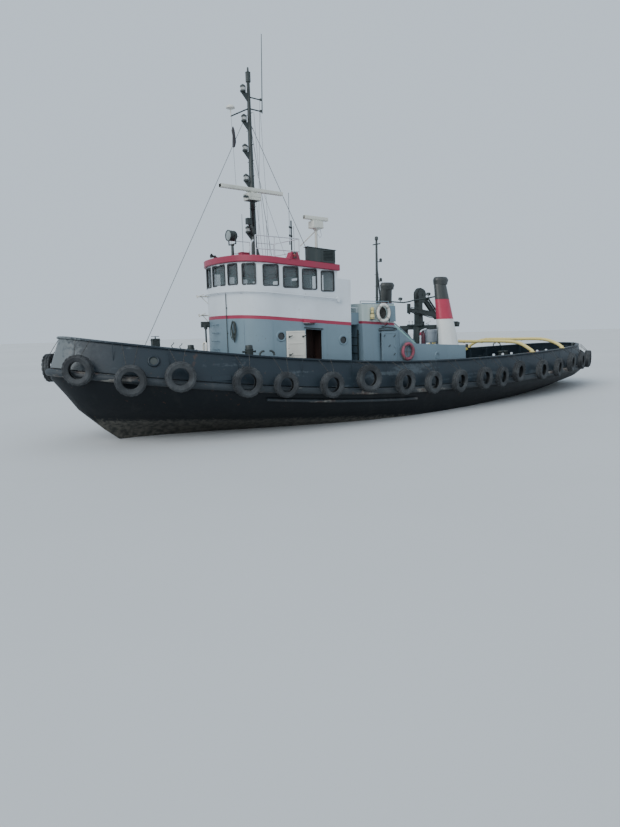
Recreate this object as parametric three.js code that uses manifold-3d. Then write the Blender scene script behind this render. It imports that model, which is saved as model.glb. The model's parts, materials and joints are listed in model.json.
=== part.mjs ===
// Harbour tugboat afloat, in millimetres: +X to the bow, +Y to port, +Z up.
// The origin is amidships on the centreline, in the plane of the water.
import * as THREE from 'three';
import { mergeVertices } from 'three/addons/utils/BufferGeometryUtils.js';
import Module from 'manifold-3d';

const wasm = await Module();
wasm.setup();

// Driving dimensions of the hull
const STEM_X = 15860;
const STERN_X = -14450;
const HALF_BEAM = 4000;
const MID_DECK_Z = 1150;
const BOW_SHEER = 1330;
const STERN_SHEER = 250;
const BULWARK_HEIGHT = 950;
const BULWARK_LEAN = 320;
const BULWARK_WALL = 70;
const STRAKE_HEIGHT = 240;
const STRAKE_DEPTH = 150;
const GAP = 0.35;

// Sloping lines of the house: floors and roof fall aft with the sheer, about the house's middle
const HOUSE_SLOPE = 0.083;
const HOUSE_MID_X = 7500;
const HOUSE_FRONT_X = 9800;
const HOUSE_AFT_X = 5650;
const HOUSE_WALL = 70;
const TIER_FLOOR_Z = 3720;
const SILL_Z = 4910;
const HEAD_Z = 5615;
const ROOF_Z = 5670;
const ROOF_TOP_Z = 5900;
const ROOF_AFT_X = 6200;

// Engine casing, low part and raised trunk
const CASING_FRONT_X = 5040;
const CASING_AFT_X = -1250;
const CASING_HALF = 2560;
const CASING_WALL = 60;
const TRUNK_TOP_Z = 4390;
const LOW_TOP_Z = 2640;
const LOW_SLOPE = 0.05;

// Propeller, rudder and engine
const SHAFT_Z = -2000;
const PROPELLER_X = -11700;
const PROPELLER_RADIUS = 1010;
const STERNPOST_X = -11200;
const STOCK_X = -12650;

const group = new THREE.Group();

function finish(color, roughness = 0.6, metalness = 0.2) {
  return new THREE.MeshStandardMaterial({ color, roughness, metalness });
}
const paint = {
  hull: finish(0x20272d, 0.7),
  bulwark: finish(0x2b3a46, 0.65),
  rubber: finish(0x3a4147, 0.9, 0),
  house: finish(0x7d919b),
  white: finish(0xc3ccd6),
  red: finish(0xa8324c),
  black: finish(0x1e2628, 0.6),
  yellow: finish(0xd8cf86),
  steel: finish(0x8a8f92, 0.4, 0.7),
  bronze: finish(0x9a7b42, 0.35, 0.9),
  glass: finish(0x9fb4b8, 0.1, 0),
  grey: finish(0x8d9aa0),
  green: finish(0x2f6b4c),
};

// Solids: closed meshes as booleans need them

function solid(geometry) {
  const bare = new THREE.BufferGeometry();
  const source = geometry.index ? geometry.toNonIndexed() : geometry;
  bare.setAttribute('position', source.attributes.position.clone());
  const merged = mergeVertices(bare, 1e-3);
  const mesh = new wasm.Mesh({
    numProp: 3,
    vertProperties: new Float32Array(merged.attributes.position.array),
    triVerts: new Uint32Array(merged.index.array),
  });
  mesh.merge();
  return new wasm.Manifold(mesh);
}

function geometryOf(manifold) {
  const mesh = manifold.getMesh();
  const geometry = new THREE.BufferGeometry();
  geometry.setAttribute('position', new THREE.BufferAttribute(new Float32Array(mesh.vertProperties), 3));
  geometry.setIndex(new THREE.BufferAttribute(new Uint32Array(mesh.triVerts), 1));
  geometry.computeVertexNormals();
  return geometry;
}

function join(...parts) {
  return parts.reduce((whole, part) => whole.add(part));
}

function add(name, part, material) {
  const mesh = new THREE.Mesh(geometryOf(part), material);
  mesh.name = name;
  group.add(mesh);
  return part;
}

function box(x, y, z) {
  const geometry = new THREE.BoxGeometry(x[1] - x[0], y[1] - y[0], z[1] - z[0]);
  geometry.translate((x[0] + x[1]) / 2, (y[0] + y[1]) / 2, (z[0] + z[1]) / 2);
  return solid(geometry);
}

// Round bar between two points, its end radii alike or not
function bar(from, to, radius, endRadius = radius, sides = 10) {
  const a = new THREE.Vector3(...from);
  const b = new THREE.Vector3(...to);
  const geometry = new THREE.CylinderGeometry(endRadius, radius, a.distanceTo(b), sides);
  const turn = new THREE.Quaternion().setFromUnitVectors(
    new THREE.Vector3(0, 1, 0), b.clone().sub(a).normalize());
  geometry.applyQuaternion(turn);
  geometry.translate((a.x + b.x) / 2, (a.y + b.y) / 2, (a.z + b.z) / 2);
  return solid(geometry);
}

// Square bar between two points: width lies level, depth stands across the bar
function beam(from, to, width, depth) {
  const a = new THREE.Vector3(...from);
  const b = new THREE.Vector3(...to);
  const along = b.clone().sub(a);
  const length = along.length();
  along.normalize();
  const side = new THREE.Vector3(0, 0, 1).cross(along);
  if (side.length() < 1e-6) side.set(0, 1, 0);
  side.normalize();
  const up = along.clone().cross(side);
  const geometry = new THREE.BoxGeometry(length, width, depth);
  geometry.applyMatrix4(new THREE.Matrix4().makeBasis(along, side, up));
  geometry.translate((a.x + b.x) / 2, (a.y + b.y) / 2, (a.z + b.z) / 2);
  return solid(geometry);
}

// Outline in the XY plane raised between two heights
function prism(outline, z) {
  const shape = new THREE.Shape(outline.map(([x, y]) => new THREE.Vector2(x, y)));
  const geometry = new THREE.ExtrudeGeometry(shape, { depth: z[1] - z[0], bevelEnabled: false });
  geometry.translate(0, 0, z[0]);
  return solid(geometry);
}

// Outline in the XZ plane drawn out between two breadths
function slab(outline, y) {
  const shape = new THREE.Shape(outline.map(([x, z]) => new THREE.Vector2(x, z)));
  const geometry = new THREE.ExtrudeGeometry(shape, { depth: y[1] - y[0], bevelEnabled: false });
  geometry.rotateX(Math.PI / 2);
  geometry.translate(0, y[1], 0);
  return solid(geometry);
}

// Round bar bent along points, its section a polygon of the given number of sides
function pipe(points, radius, steps, sides = 8) {
  const curve = new THREE.CatmullRomCurve3(points.map((p) => new THREE.Vector3(...p)), false, 'centripetal');
  const section = new THREE.Shape();
  for (let i = 0; i < sides; i += 1) {
    const a = (2 * Math.PI * i) / sides;
    if (i === 0) section.moveTo(radius, 0);
    else section.lineTo(radius * Math.cos(a), radius * Math.sin(a));
  }
  section.closePath();
  return solid(new THREE.ExtrudeGeometry(section, { steps, extrudePath: curve, bevelEnabled: false }));
}

// Level floors and roofs of the house lean with the sheer: heights move with X, walls stay upright
function sheared(part, slope, aboutX) {
  const geometry = geometryOf(part);
  const lean = new THREE.Matrix4().set(1, 0, 0, 0, 0, 1, 0, 0, slope, 0, 1, -slope * aboutX, 0, 0, 0, 1);
  geometry.applyMatrix4(lean);
  return solid(geometry);
}

function mirrored(part) {
  return part.mirror([0, 1, 0]);
}

function moved(part, x, y, z) {
  return part.translate([x, y, z]);
}

// Hull lines: each level is one outline from stem to stern

function deckZ(x) {
  const reach = x > 0 ? x / STEM_X : x / STERN_X;
  return MID_DECK_Z + (x > 0 ? BOW_SHEER : STERN_SHEER) * reach * reach;
}

const SIDE_STEPS = 26;
const UPPER = { fore: STEM_X, aft: STERN_X, midFore: 3000, midAft: 0, half: HALF_BEAM,
  bow: [2, 0.51], stern: [2, 0.43] };

// Columns: height at midship, share of the sheer, stem X, stern X, mid fore X, mid aft X, half-breadth,
// bow power and exponent, stern power and exponent
const HULL_LEVELS = [
  [800, 1.0, 15860, -14450, 3000, 0, 4000, 2, 0.51, 2, 0.43],
  [560, 0.45, 15130, -14050, 3000, 0, 3860, 2, 0.66, 2, 0.5],
  [260, 0.12, 14350, -13800, 2600, 800, 3660, 2, 1.25, 1.7, 0.72],
  [0, 0.0, 13850, -13500, 2500, 1500, 3480, 2, 1.8, 1.5, 0.9],
  [-700, 0.0, 13400, -11900, 2500, 1500, 3300, 2, 1.9, 1.3, 1.1],
  [-1600, 0.0, 12800, -10600, 2500, 1500, 2900, 2, 2.0, 1.2, 1.5],
  [-2300, 0.0, 12200, -9500, 2500, 1500, 1950, 2, 1.8, 1.2, 1.6],
  [-2700, 0.0, 11300, -8500, 2500, 1500, 500, 2, 1.0, 1.2, 1.0],
];

// Half outline of one level, bow to stern, as [x, half-breadth]
function halfOutline({ fore, aft, midFore, midAft, half, bow, stern }) {
  const points = [];
  const bowSteps = Math.round(SIDE_STEPS * 0.5);
  for (let i = 0; i <= bowSteps; i += 1) {
    const reach = Math.cos((Math.PI / 2) * (i / bowSteps));
    points.push([midFore + (fore - midFore) * reach, half * (1 - reach ** bow[0]) ** bow[1]]);
  }
  for (let i = 0; i <= SIDE_STEPS - bowSteps; i += 1) {
    const reach = Math.sin((Math.PI / 2) * (i / (SIDE_STEPS - bowSteps)));
    points.push([midAft + (aft - midAft) * reach, half * Math.max(0, 1 - reach ** stern[0]) ** stern[1]]);
  }
  return points;
}

// Whole outline, round from the stem along port to the stern and back along starboard
function ring(half) {
  const inner = half.slice(1, -1);
  return [half[0], ...inner, half[half.length - 1], ...inner.slice().reverse().map(([x, y]) => [x, -y])];
}

function closedMesh(vertices, triangles) {
  const geometry = new THREE.BufferGeometry();
  geometry.setAttribute('position', new THREE.BufferAttribute(new Float32Array(vertices.flat()), 3));
  let volume = 0;
  for (const [a, b, c] of triangles) {
    const p = vertices[a];
    const q = vertices[b];
    const r = vertices[c];
    volume += p[0] * (q[1] * r[2] - q[2] * r[1]) + p[1] * (q[2] * r[0] - q[0] * r[2])
      + p[2] * (q[0] * r[1] - q[1] * r[0]);
  }
  geometry.setIndex((volume > 0 ? triangles : triangles.map(([a, b, c]) => [a, c, b])).flat());
  return solid(geometry);
}

// Skin through rings of equal count, both ends closed by strips from port to starboard
function loft(rings) {
  const count = rings[0].length;
  const triangles = [];
  for (let level = 0; level + 1 < rings.length; level += 1) {
    for (let i = 0; i < count; i += 1) {
      const j = (i + 1) % count;
      const a = level * count + i;
      const b = level * count + j;
      triangles.push([a, b, a + count], [b, b + count, a + count]);
    }
  }
  const cap = (base, flip) => {
    const push = (a, b, c) => triangles.push(flip ? [a, c, b] : [a, b, c]);
    const half = count / 2;
    push(base, base + count - 1, base + 1);
    for (let i = 1; i + 1 < half; i += 1) {
      const p = base + i;
      const s = base + count - i;
      push(p, s, p + 1);
      push(p + 1, s, s - 1);
    }
    push(base + half - 1, base + half + 1, base + half);
  };
  cap(0, false);
  cap((rings.length - 1) * count, true);
  return closedMesh(rings.flat(), triangles);
}

// Belt round the deck edge: its section is given as [outward, up from the deck]
function belt(section) {
  const path = ring(halfOutline(UPPER));
  const count = path.length;
  const vertices = [];
  for (let i = 0; i < count; i += 1) {
    const [x0, y0] = path[(i + count - 1) % count];
    const [x1, y1] = path[(i + 1) % count];
    const length = Math.hypot(x1 - x0, y1 - y0);
    const out = [-(y1 - y0) / length, (x1 - x0) / length].map((v) => -v);
    const [x, y] = path[i];
    for (const [outward, up] of section) {
      vertices.push([x + out[0] * outward, y + out[1] * outward, deckZ(x) + up]);
    }
  }
  const triangles = [];
  const sides = section.length;
  for (let i = 0; i < count; i += 1) {
    for (let k = 0; k < sides; k += 1) {
      const a = i * sides + k;
      const b = i * sides + ((k + 1) % sides);
      const c = ((i + 1) % count) * sides + k;
      const d = ((i + 1) % count) * sides + ((k + 1) % sides);
      triangles.push([a, b, c], [b, d, c]);
    }
  }
  return closedMesh(vertices, triangles);
}

// Half-breadth of the deck edge and its outward direction at X
function deckEdge(x) {
  const { fore, aft, midFore, midAft, half, bow, stern } = UPPER;
  const breadth = (at) => {
    if (at > midFore) return half * Math.max(0, 1 - ((at - midFore) / (fore - midFore)) ** bow[0]) ** bow[1];
    if (at < midAft) return half * Math.max(0, 1 - ((at - midAft) / (aft - midAft)) ** stern[0]) ** stern[1];
    return half;
  };
  const step = 20;
  const slope = (breadth(x + step) - breadth(x - step)) / (2 * step);
  const length = Math.hypot(1, slope);
  return { y: breadth(x), out: [-slope / length, 1 / length] };
}

// Hull with skeg, sole piece, stern boss and engine well

const deckRing = ring(halfOutline(UPPER)).map(([x, y]) => [x, y, deckZ(x)]);
const hullRings = [deckRing, ...HULL_LEVELS.map((row) => {
  const [z, sheer, fore, aft, midFore, midAft, half, bowPower, bowFall, sternPower, sternFall] = row;
  const level = { fore, aft, midFore, midAft, half, bow: [bowPower, bowFall], stern: [sternPower, sternFall] };
  return ring(halfOutline(level)).map(([x, y]) => [x, y, z + sheer * (deckZ(x) - MID_DECK_Z)]);
})];
const SKEG_HALF = 160;
const skeg = slab([[11700, -2500], [10900, -2860], [STERNPOST_X + 50, -3300], [STERNPOST_X + 50, -500],
  [-10200, -500], [-3000, -2200], [8000, -2400]], [-SKEG_HALF, SKEG_HALF]);
const sole = box([-13000, STERNPOST_X + 400], [-SKEG_HALF, SKEG_HALF], [-3300, -3140]);
const boss = bar([-10500, 0, SHAFT_Z], [STERNPOST_X, 0, SHAFT_Z], 300, 300, 14);
const shaftBore = bar([-10450, 0, SHAFT_Z], [STERNPOST_X - 200, 0, SHAFT_Z], 118, 118, 14);
const stockBore = bar([STOCK_X, 0, -1200], [STOCK_X, 0, 310], 106, 106, 14);
const pintleBore = bar([STOCK_X, 0, -3260], [STOCK_X, 0, -3000], 66, 66, 12);
const WELL = { x: [-600, 4600], y: [-1300, 1300], z: [-1400, 3000] };
const engineWell = box(WELL.x, WELL.y, WELL.z);
const hull = add('hull', join(loft(hullRings), skeg, sole, boss)
  .subtract(shaftBore).subtract(stockBore).subtract(pintleBore).subtract(engineWell), paint.hull);
const liftedHull = moved(hull, 0, 0, GAP);

add('engine_block', box([300, 3700], [-620, 620], [WELL.z[0] + GAP, 350]), paint.grey);

// Bulwark with its cap rail, leaning inboard from the deck edge
const capLow = BULWARK_HEIGHT - 60;
const bulwark = add('bulwark', belt([
  [-6, GAP], [-BULWARK_LEAN, capLow], [60 - BULWARK_LEAN, capLow], [60 - BULWARK_LEAN, BULWARK_HEIGHT],
  [-BULWARK_LEAN - 120, BULWARK_HEIGHT], [-BULWARK_LEAN - 120, capLow],
  [-BULWARK_LEAN - BULWARK_WALL, capLow], [-6 - BULWARK_WALL, GAP]]), paint.bulwark);

// Rubbing strake round the deck edge, and the tyres that lie against it
const strake = belt([[0.4, -20], [STRAKE_DEPTH * 0.75, -20 - STRAKE_HEIGHT * 0.15],
  [STRAKE_DEPTH, -20 - STRAKE_HEIGHT * 0.5], [STRAKE_DEPTH * 0.75, -20 - STRAKE_HEIGHT * 0.85],
  [0.4, -20 - STRAKE_HEIGHT]]);
const TYRE_RADIUS = 475;
const TYRE_TUBE = 135;

// Columns: X, height of the centre; the same along port and starboard
const TYRES = [
  [15320, 2420], [14150, 2070], [12850, 2120], [10870, 1850], [9570, 1680], [7840, 1570], [6260, 1690],
  [4510, 1440], [2950, 1320], [1320, 1260], [-340, 1270], [-1620, 1240], [-2980, 1380], [-5140, 1330],
  [-6930, 1340], [-8670, 1480], [-10400, 1480], [-11900, 1480], [-13150, 1450],
];

function tyre(x, z, side) {
  const { y, out } = deckEdge(x);
  const offset = STRAKE_DEPTH + TYRE_TUBE - 75;
  const geometry = new THREE.TorusGeometry(TYRE_RADIUS - TYRE_TUBE, TYRE_TUBE, 5, 10);
  const outward = new THREE.Vector3(out[0], out[1] * side, 0);
  geometry.applyQuaternion(new THREE.Quaternion().setFromUnitVectors(new THREE.Vector3(0, 0, 1), outward));
  geometry.translate(x + out[0] * offset, (y + out[1] * offset) * side, z);
  return solid(geometry);
}
const tyres = TYRES.flatMap(([x, z]) => [tyre(x, z, 1), tyre(x, z, -1)]);
tyres.push(...[-700, 700].map((y) => {
  const geometry = new THREE.TorusGeometry(TYRE_RADIUS - TYRE_TUBE, TYRE_TUBE, 5, 10);
  geometry.rotateY(Math.PI / 2);
  geometry.translate(STERN_X - STRAKE_DEPTH - TYRE_TUBE + 120, y, deckZ(STERN_X) + 40);
  return solid(geometry);
}));
add('rubbing_strake_and_tyres', tyres.reduce((whole, part) => whole.add(part), strake)
  .subtract(moved(hull, 0, 0, 0)), paint.rubber);

// Rudder with its stock and pintle, tail shaft and propeller
const rudderBlade = slab([[-12330, -800], [-13850, -680], [-14000, -2900], [-12330, -3110]], [-110, 110]);
add('rudder', join(rudderBlade, bar([STOCK_X, 0, -900], [STOCK_X, 0, 295], 95, 95, 12),
  bar([STOCK_X, 0, -3240], [STOCK_X, 0, -3000], 58, 58, 10),
  bar([STOCK_X, 0, -3140 + GAP], [STOCK_X, 0, -3040], 100, 100, 12)), paint.hull);
const tailShaft = bar([-10460, 0, SHAFT_Z], [STERNPOST_X - 260, 0, SHAFT_Z], 110, 110, 14);

const HUB_RADIUS = 230;
const BLADE_COUNT = 4;
const PITCH = 1500;
function propellerBlade(angle) {
  const shape = new THREE.Shape();
  shape.moveTo(-150, HUB_RADIUS - 60);
  shape.quadraticCurveTo(-470, 620, -260, PROPELLER_RADIUS - 120);
  shape.quadraticCurveTo(0, PROPELLER_RADIUS + 70, 260, PROPELLER_RADIUS - 120);
  shape.quadraticCurveTo(470, 620, 150, HUB_RADIUS - 60);
  const geometry = new THREE.ExtrudeGeometry(shape, { depth: 44, bevelEnabled: false, curveSegments: 5 });
  geometry.translate(0, 0, -22);
  const at = geometry.attributes.position;
  for (let i = 0; i < at.count; i += 1) {
    const radius = at.getY(i);
    const twist = Math.atan2(PITCH, 2 * Math.PI * Math.max(radius, 150));
    const across = at.getX(i);
    const thick = at.getZ(i);
    at.setXYZ(i, across * Math.sin(twist) + thick * Math.cos(twist),
      across * Math.cos(twist) - thick * Math.sin(twist), radius);
  }
  geometry.rotateX(angle);
  geometry.translate(PROPELLER_X, 0, SHAFT_Z);
  return solid(geometry);
}
const hub = bar([STERNPOST_X - GAP, 0, SHAFT_Z], [PROPELLER_X - 260, 0, SHAFT_Z], HUB_RADIUS, 150, 16);
add('propeller', join(hub, tailShaft, ...Array.from({ length: BLADE_COUNT },
  (_, i) => propellerBlade((2 * Math.PI * i) / BLADE_COUNT))), paint.bronze);

// Deckhouse and wheelhouse: one plan, a slightly round front, round corners, sides that widen aft

const FRONT_RADIUS = 4000;
const FRONT_HALF = 900;
const CORNER_RADIUS = 1300;
const SIDE_TAPER = (12 * Math.PI) / 180;

function housePlan(inset, aftX = HOUSE_AFT_X + inset) {
  const points = [];
  const frontEnd = Math.asin(FRONT_HALF / FRONT_RADIUS);
  const frontCentre = HOUSE_FRONT_X - FRONT_RADIUS;
  for (let i = 0; i <= 3; i += 1) {
    const a = (frontEnd * i) / 3;
    const r = FRONT_RADIUS - inset;
    points.push([frontCentre + r * Math.cos(a), r * Math.sin(a)]);
  }
  const reach = FRONT_RADIUS - CORNER_RADIUS;
  const corner = [frontCentre + reach * Math.cos(frontEnd), reach * Math.sin(frontEnd)];
  const cornerEnd = Math.PI / 2 - SIDE_TAPER;
  const r = CORNER_RADIUS - inset;
  for (let i = 1; i <= 6; i += 1) {
    const a = frontEnd + ((cornerEnd - frontEnd) * i) / 6;
    points.push([corner[0] + r * Math.cos(a), corner[1] + r * Math.sin(a)]);
  }
  const [x, y] = points[points.length - 1];
  points.push([aftX, y + (x - aftX) * Math.tan(SIDE_TAPER)]);
  return [...points.slice(1).reverse().map(([px, py]) => [px, -py]), ...points];
}

// Point and heading on the house wall at a distance round from the middle of the front, to port
function wallAt(distance) {
  const frontEnd = Math.asin(FRONT_HALF / FRONT_RADIUS);
  const frontCentre = HOUSE_FRONT_X - FRONT_RADIUS;
  const frontLength = FRONT_RADIUS * frontEnd;
  if (distance < frontLength) {
    const a = distance / FRONT_RADIUS;
    return { x: frontCentre + FRONT_RADIUS * Math.cos(a), y: FRONT_RADIUS * Math.sin(a), facing: a };
  }
  const reach = FRONT_RADIUS - CORNER_RADIUS;
  const corner = [frontCentre + reach * Math.cos(frontEnd), reach * Math.sin(frontEnd)];
  const cornerEnd = Math.PI / 2 - SIDE_TAPER;
  const a = Math.min(frontEnd + (distance - frontLength) / CORNER_RADIUS, cornerEnd);
  const past = distance - frontLength - CORNER_RADIUS * (cornerEnd - frontEnd);
  const x = corner[0] + CORNER_RADIUS * Math.cos(a);
  const y = corner[1] + CORNER_RADIUS * Math.sin(a);
  if (past <= 0) return { x, y, facing: a };
  return { x: x - past * Math.cos(SIDE_TAPER), y: y + past * Math.sin(SIDE_TAPER), facing: a };
}

// Box through the wall, for windows and doorways
function wallCut(start, end, z, side = 1) {
  const a = wallAt(Math.abs(start));
  const b = wallAt(Math.abs(end));
  if (start < 0) {
    a.y = -a.y;
    a.facing = -a.facing;
  }
  const facing = (a.facing + b.facing) / 2;
  const width = Math.hypot(b.x - a.x, b.y - a.y);
  const geometry = new THREE.BoxGeometry(500, width, z[1] - z[0]);
  geometry.rotateZ(facing * side);
  geometry.translate((a.x + b.x) / 2, ((a.y + b.y) / 2) * side, (z[0] + z[1]) / 2);
  return solid(geometry);
}

// Columns: start and end of each window, measured round the wall from the middle of the front
const WINDOWS = [[-420, 420], [590, 1050], [1260, 1740], [2010, 2560], [2760, 3330], [3510, 4070], [4270, 4790]];
const DOORWAY = { start: 3555, end: 4255, z: [1690, 3470] };
const PORTHOLES = [2600, 5140];
const PORTHOLE_Z = 3160;
const PORTHOLE_RADIUS = 150;

function porthole(distance, side) {
  const { x, y, facing } = wallAt(distance);
  const out = [Math.cos(facing), Math.sin(facing) * side];
  return bar([x - out[0] * 300, y * side - out[1] * 300, PORTHOLE_Z],
    [x + out[0] * 300, y * side + out[1] * 300, PORTHOLE_Z], PORTHOLE_RADIUS, PORTHOLE_RADIUS, 12);
}

const lean = (part) => sheared(part, HOUSE_SLOPE, HOUSE_MID_X);
const sides = [1, -1];
let lowerTier = prism(housePlan(0), [700, TIER_FLOOR_Z])
  .subtract(prism(housePlan(HOUSE_WALL), [600, TIER_FLOOR_Z - 70]));
for (const side of sides) {
  lowerTier = lowerTier.subtract(wallCut(DOORWAY.start, DOORWAY.end, DOORWAY.z, side));
  for (const at of PORTHOLES) lowerTier = lowerTier.subtract(porthole(at, side));
}
const hingeSpot = wallAt(DOORWAY.start - 20);
const hingeTilt = HOUSE_SLOPE * (hingeSpot.x + Math.cos(hingeSpot.facing) * 45 - HOUSE_MID_X);
const knuckles = sides.flatMap((side) => [DOORWAY.z[0] + 75, DOORWAY.z[1] - 145].map((z, i) => {
  const out = [Math.cos(hingeSpot.facing), Math.sin(hingeSpot.facing) * side];
  const height = z + hingeTilt + (i ? -12.1 : 12.1);
  return beam([hingeSpot.x - out[0] * 10, hingeSpot.y * side - out[1] * 10, height],
    [hingeSpot.x + out[0] * 57, hingeSpot.y * side + out[1] * 57, height], 16, 25);
}));
add('deckhouse', join(lean(lowerTier), ...knuckles).subtract(liftedHull), paint.house);

const screenTop = 5400;
let upperTier = prism(housePlan(0), [TIER_FLOOR_Z + GAP, ROOF_Z])
  .subtract(prism(housePlan(HOUSE_WALL, ROOF_AFT_X + HOUSE_WALL), [3000, 6500]))
  .subtract(box([5000, ROOF_AFT_X], [-3000, 3000], [screenTop, 6500]));
const recess = prism(housePlan(HOUSE_WALL, 5000), [3000, 6500]).intersect(
  box([5000, ROOF_AFT_X], [-3000, 3000], [3000, 6500]));
upperTier = upperTier.subtract(recess);
for (const side of sides) {
  for (const [start, end] of WINDOWS) {
    if (start > 0 || side > 0) upperTier = upperTier.subtract(wallCut(start, end, [SILL_Z, HEAD_Z], side));
  }
}
const AFT_DOOR = { y: [-330, 330], z: [3900, 5600] };
upperTier = upperTier.subtract(box([ROOF_AFT_X - 200, ROOF_AFT_X + 300], AFT_DOOR.y, AFT_DOOR.z));
for (const side of sides) {
  upperTier = upperTier.subtract(box([ROOF_AFT_X - 200, ROOF_AFT_X + 300],
    [Math.min(900 * side, 1700 * side), Math.max(900 * side, 1700 * side)], [SILL_Z, HEAD_Z]));
}
const aftLeafTilt = HOUSE_SLOPE * (ROOF_AFT_X - HOUSE_MID_X);
const aftKnuckles = [4000 - 13.4, 5400 + 13.4].map((z) => box([ROOF_AFT_X - 50, ROOF_AFT_X + 20],
  [AFT_DOOR.y[1] + 3, AFT_DOOR.y[1] + 17], [z + aftLeafTilt - 13, z + aftLeafTilt + 13]));
add('wheelhouse', join(lean(upperTier), ...aftKnuckles), paint.white);

const roof = prism(housePlan(-90, ROOF_AFT_X - 60), [ROOF_Z + GAP, ROOF_TOP_Z])
  .subtract(prism(housePlan(HOUSE_WALL + 60, ROOF_AFT_X + 200), [ROOF_Z - 100, ROOF_TOP_Z - 60]));
add('wheelhouse_roof', lean(roof), paint.red);

const GLASS_INSET = HOUSE_WALL + GAP;
const glassBand = prism(housePlan(GLASS_INSET, ROOF_AFT_X + HOUSE_WALL + 60), [SILL_Z - 60, ROOF_Z - 10])
  .subtract(prism(housePlan(GLASS_INSET + 10, ROOF_AFT_X), [SILL_Z - 200, ROOF_Z + 100]));
add('window_glass', lean(glassBand), paint.glass);

add('helm_console', lean(join(
  slab([[8700, TIER_FLOOR_Z + GAP], [9250, TIER_FLOOR_Z + GAP], [9250, 4850], [9050, 4850], [8700, 4620]],
    [-650, 650]))), paint.black);

// Doors. A leaf swings on a line just outside the wall, and laps the doorway's edge

function sideLeaf(side, open) {
  const hinge = wallAt(DOORWAY.start - 20);
  const out = [Math.cos(hinge.facing), Math.sin(hinge.facing)];
  const along = [-out[1], out[0]];
  const axis = [hinge.x + out[0] * 45, hinge.y + out[1] * 45];
  const width = DOORWAY.end - DOORWAY.start + 40;
  const reach = open ? -1 : 1;
  const tiltZ = HOUSE_SLOPE * (axis[0] - HOUSE_MID_X);
  const at = (a, b) => [axis[0] + along[0] * a * reach + out[0] * b, axis[1] + along[1] * a * reach + out[1] * b];
  const outline = [at(15, -22), at(width, -22), at(width, 22), at(15, 22)];
  const leaf = prism(reach > 0 ? outline : outline.reverse(), [DOORWAY.z[0] + tiltZ - 10, DOORWAY.z[1] + tiltZ - 60]);
  const barrel = bar([axis[0], axis[1], DOORWAY.z[0] + tiltZ + 100],
    [axis[0], axis[1], DOORWAY.z[1] + tiltZ - 170], 20, 20, 8);
  const whole = leaf.add(barrel);
  return side > 0 ? whole : mirrored(whole);
}
add('port_door', sideLeaf(1, true), paint.white);
add('starboard_door', sideLeaf(-1, false), paint.white);

const aftLeaf = box([ROOF_AFT_X - 60, ROOF_AFT_X - 16], [AFT_DOOR.y[0] - 30, AFT_DOOR.y[1] - 5], [3880, 5520])
  .add(bar([ROOF_AFT_X - 38, AFT_DOOR.y[1] + 10, 4000], [ROOF_AFT_X - 38, AFT_DOOR.y[1] + 10, 5400], 18, 18, 8));
add('wheelhouse_door', moved(aftLeaf, 0, 0, aftLeafTilt), paint.white);

// Engine casing: raised trunk forward, low part aft, sides that lean in a little

const casingProfile = (wall) => [[CASING_FRONT_X - wall, 0], [CASING_FRONT_X - wall, TRUNK_TOP_Z - wall],
  [3250 + wall, TRUNK_TOP_Z - wall], [3300 + wall, 3600 - wall * 0.4], [2150 + wall * 0.3, 2870 - wall],
  [1950, LOW_TOP_Z + LOW_SLOPE * 1950 - wall], [CASING_AFT_X + wall, LOW_TOP_Z + LOW_SLOPE * CASING_AFT_X - wall],
  [CASING_AFT_X + wall, 0]];
function leaningSides(part) {
  const geometry = geometryOf(part);
  const at = geometry.attributes.position;
  for (let i = 0; i < at.count; i += 1) at.setY(i, at.getY(i) * (1.03 - 0.02 * (at.getZ(i) / 1000 - 1)));
  return solid(geometry);
}
const casingOuter = slab(casingProfile(0), [-CASING_HALF, CASING_HALF]);
const casingInner = slab(casingProfile(CASING_WALL).map(([x, z]) => [x, z === 0 ? -200 : z]),
  [CASING_WALL - CASING_HALF, CASING_HALF - CASING_WALL]);
const CASING_DOOR = { x: [3330, 4110], z: [1500, 3290] };
const casingDoorway = box(CASING_DOOR.x, [2300, 2900], CASING_DOOR.z);
const doorHinge = { x: CASING_DOOR.x[1] + 30, y: CASING_HALF * (1.03 - 0.02 * ((CASING_DOOR.z[0] - 20) / 1000 - 1)) + 32 };
const casingKnuckles = [CASING_DOOR.z[0] + 40 - 13.4, CASING_DOOR.z[1] - 40 + 13.4].map((z) => box(
  [doorHinge.x - 7, doorHinge.x + 7], [doorHinge.y - 150, doorHinge.y + 12], [z - 13, z + 13]));
const casing = join(leaningSides(casingOuter.subtract(casingInner)).subtract(casingDoorway), ...casingKnuckles)
  .subtract(liftedHull);
add('engine_casing', casing, paint.house);


// Leaf of the casing door, hung at its forward edge, standing just off the leaning side
function casingLeaf() {
  const hingeX = CASING_DOOR.x[1] + 30;
  const low = CASING_DOOR.z[0] - 20;
  const high = CASING_DOOR.z[1] + 20;
  const y = CASING_HALF * (1.03 - 0.02 * (low / 1000 - 1)) + 12;
  return join(box([CASING_DOOR.x[0] - 20, hingeX - 16], [y, y + 40], [low, high]),
    bar([hingeX, y + 20, low + 60], [hingeX, y + 20, high - 60], 18, 18, 8),
    box([hingeX - 60, hingeX], [y + 8, y + 32], [low + 200, high - 200]));
}
add('casing_door', casingLeaf(), paint.house);

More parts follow.
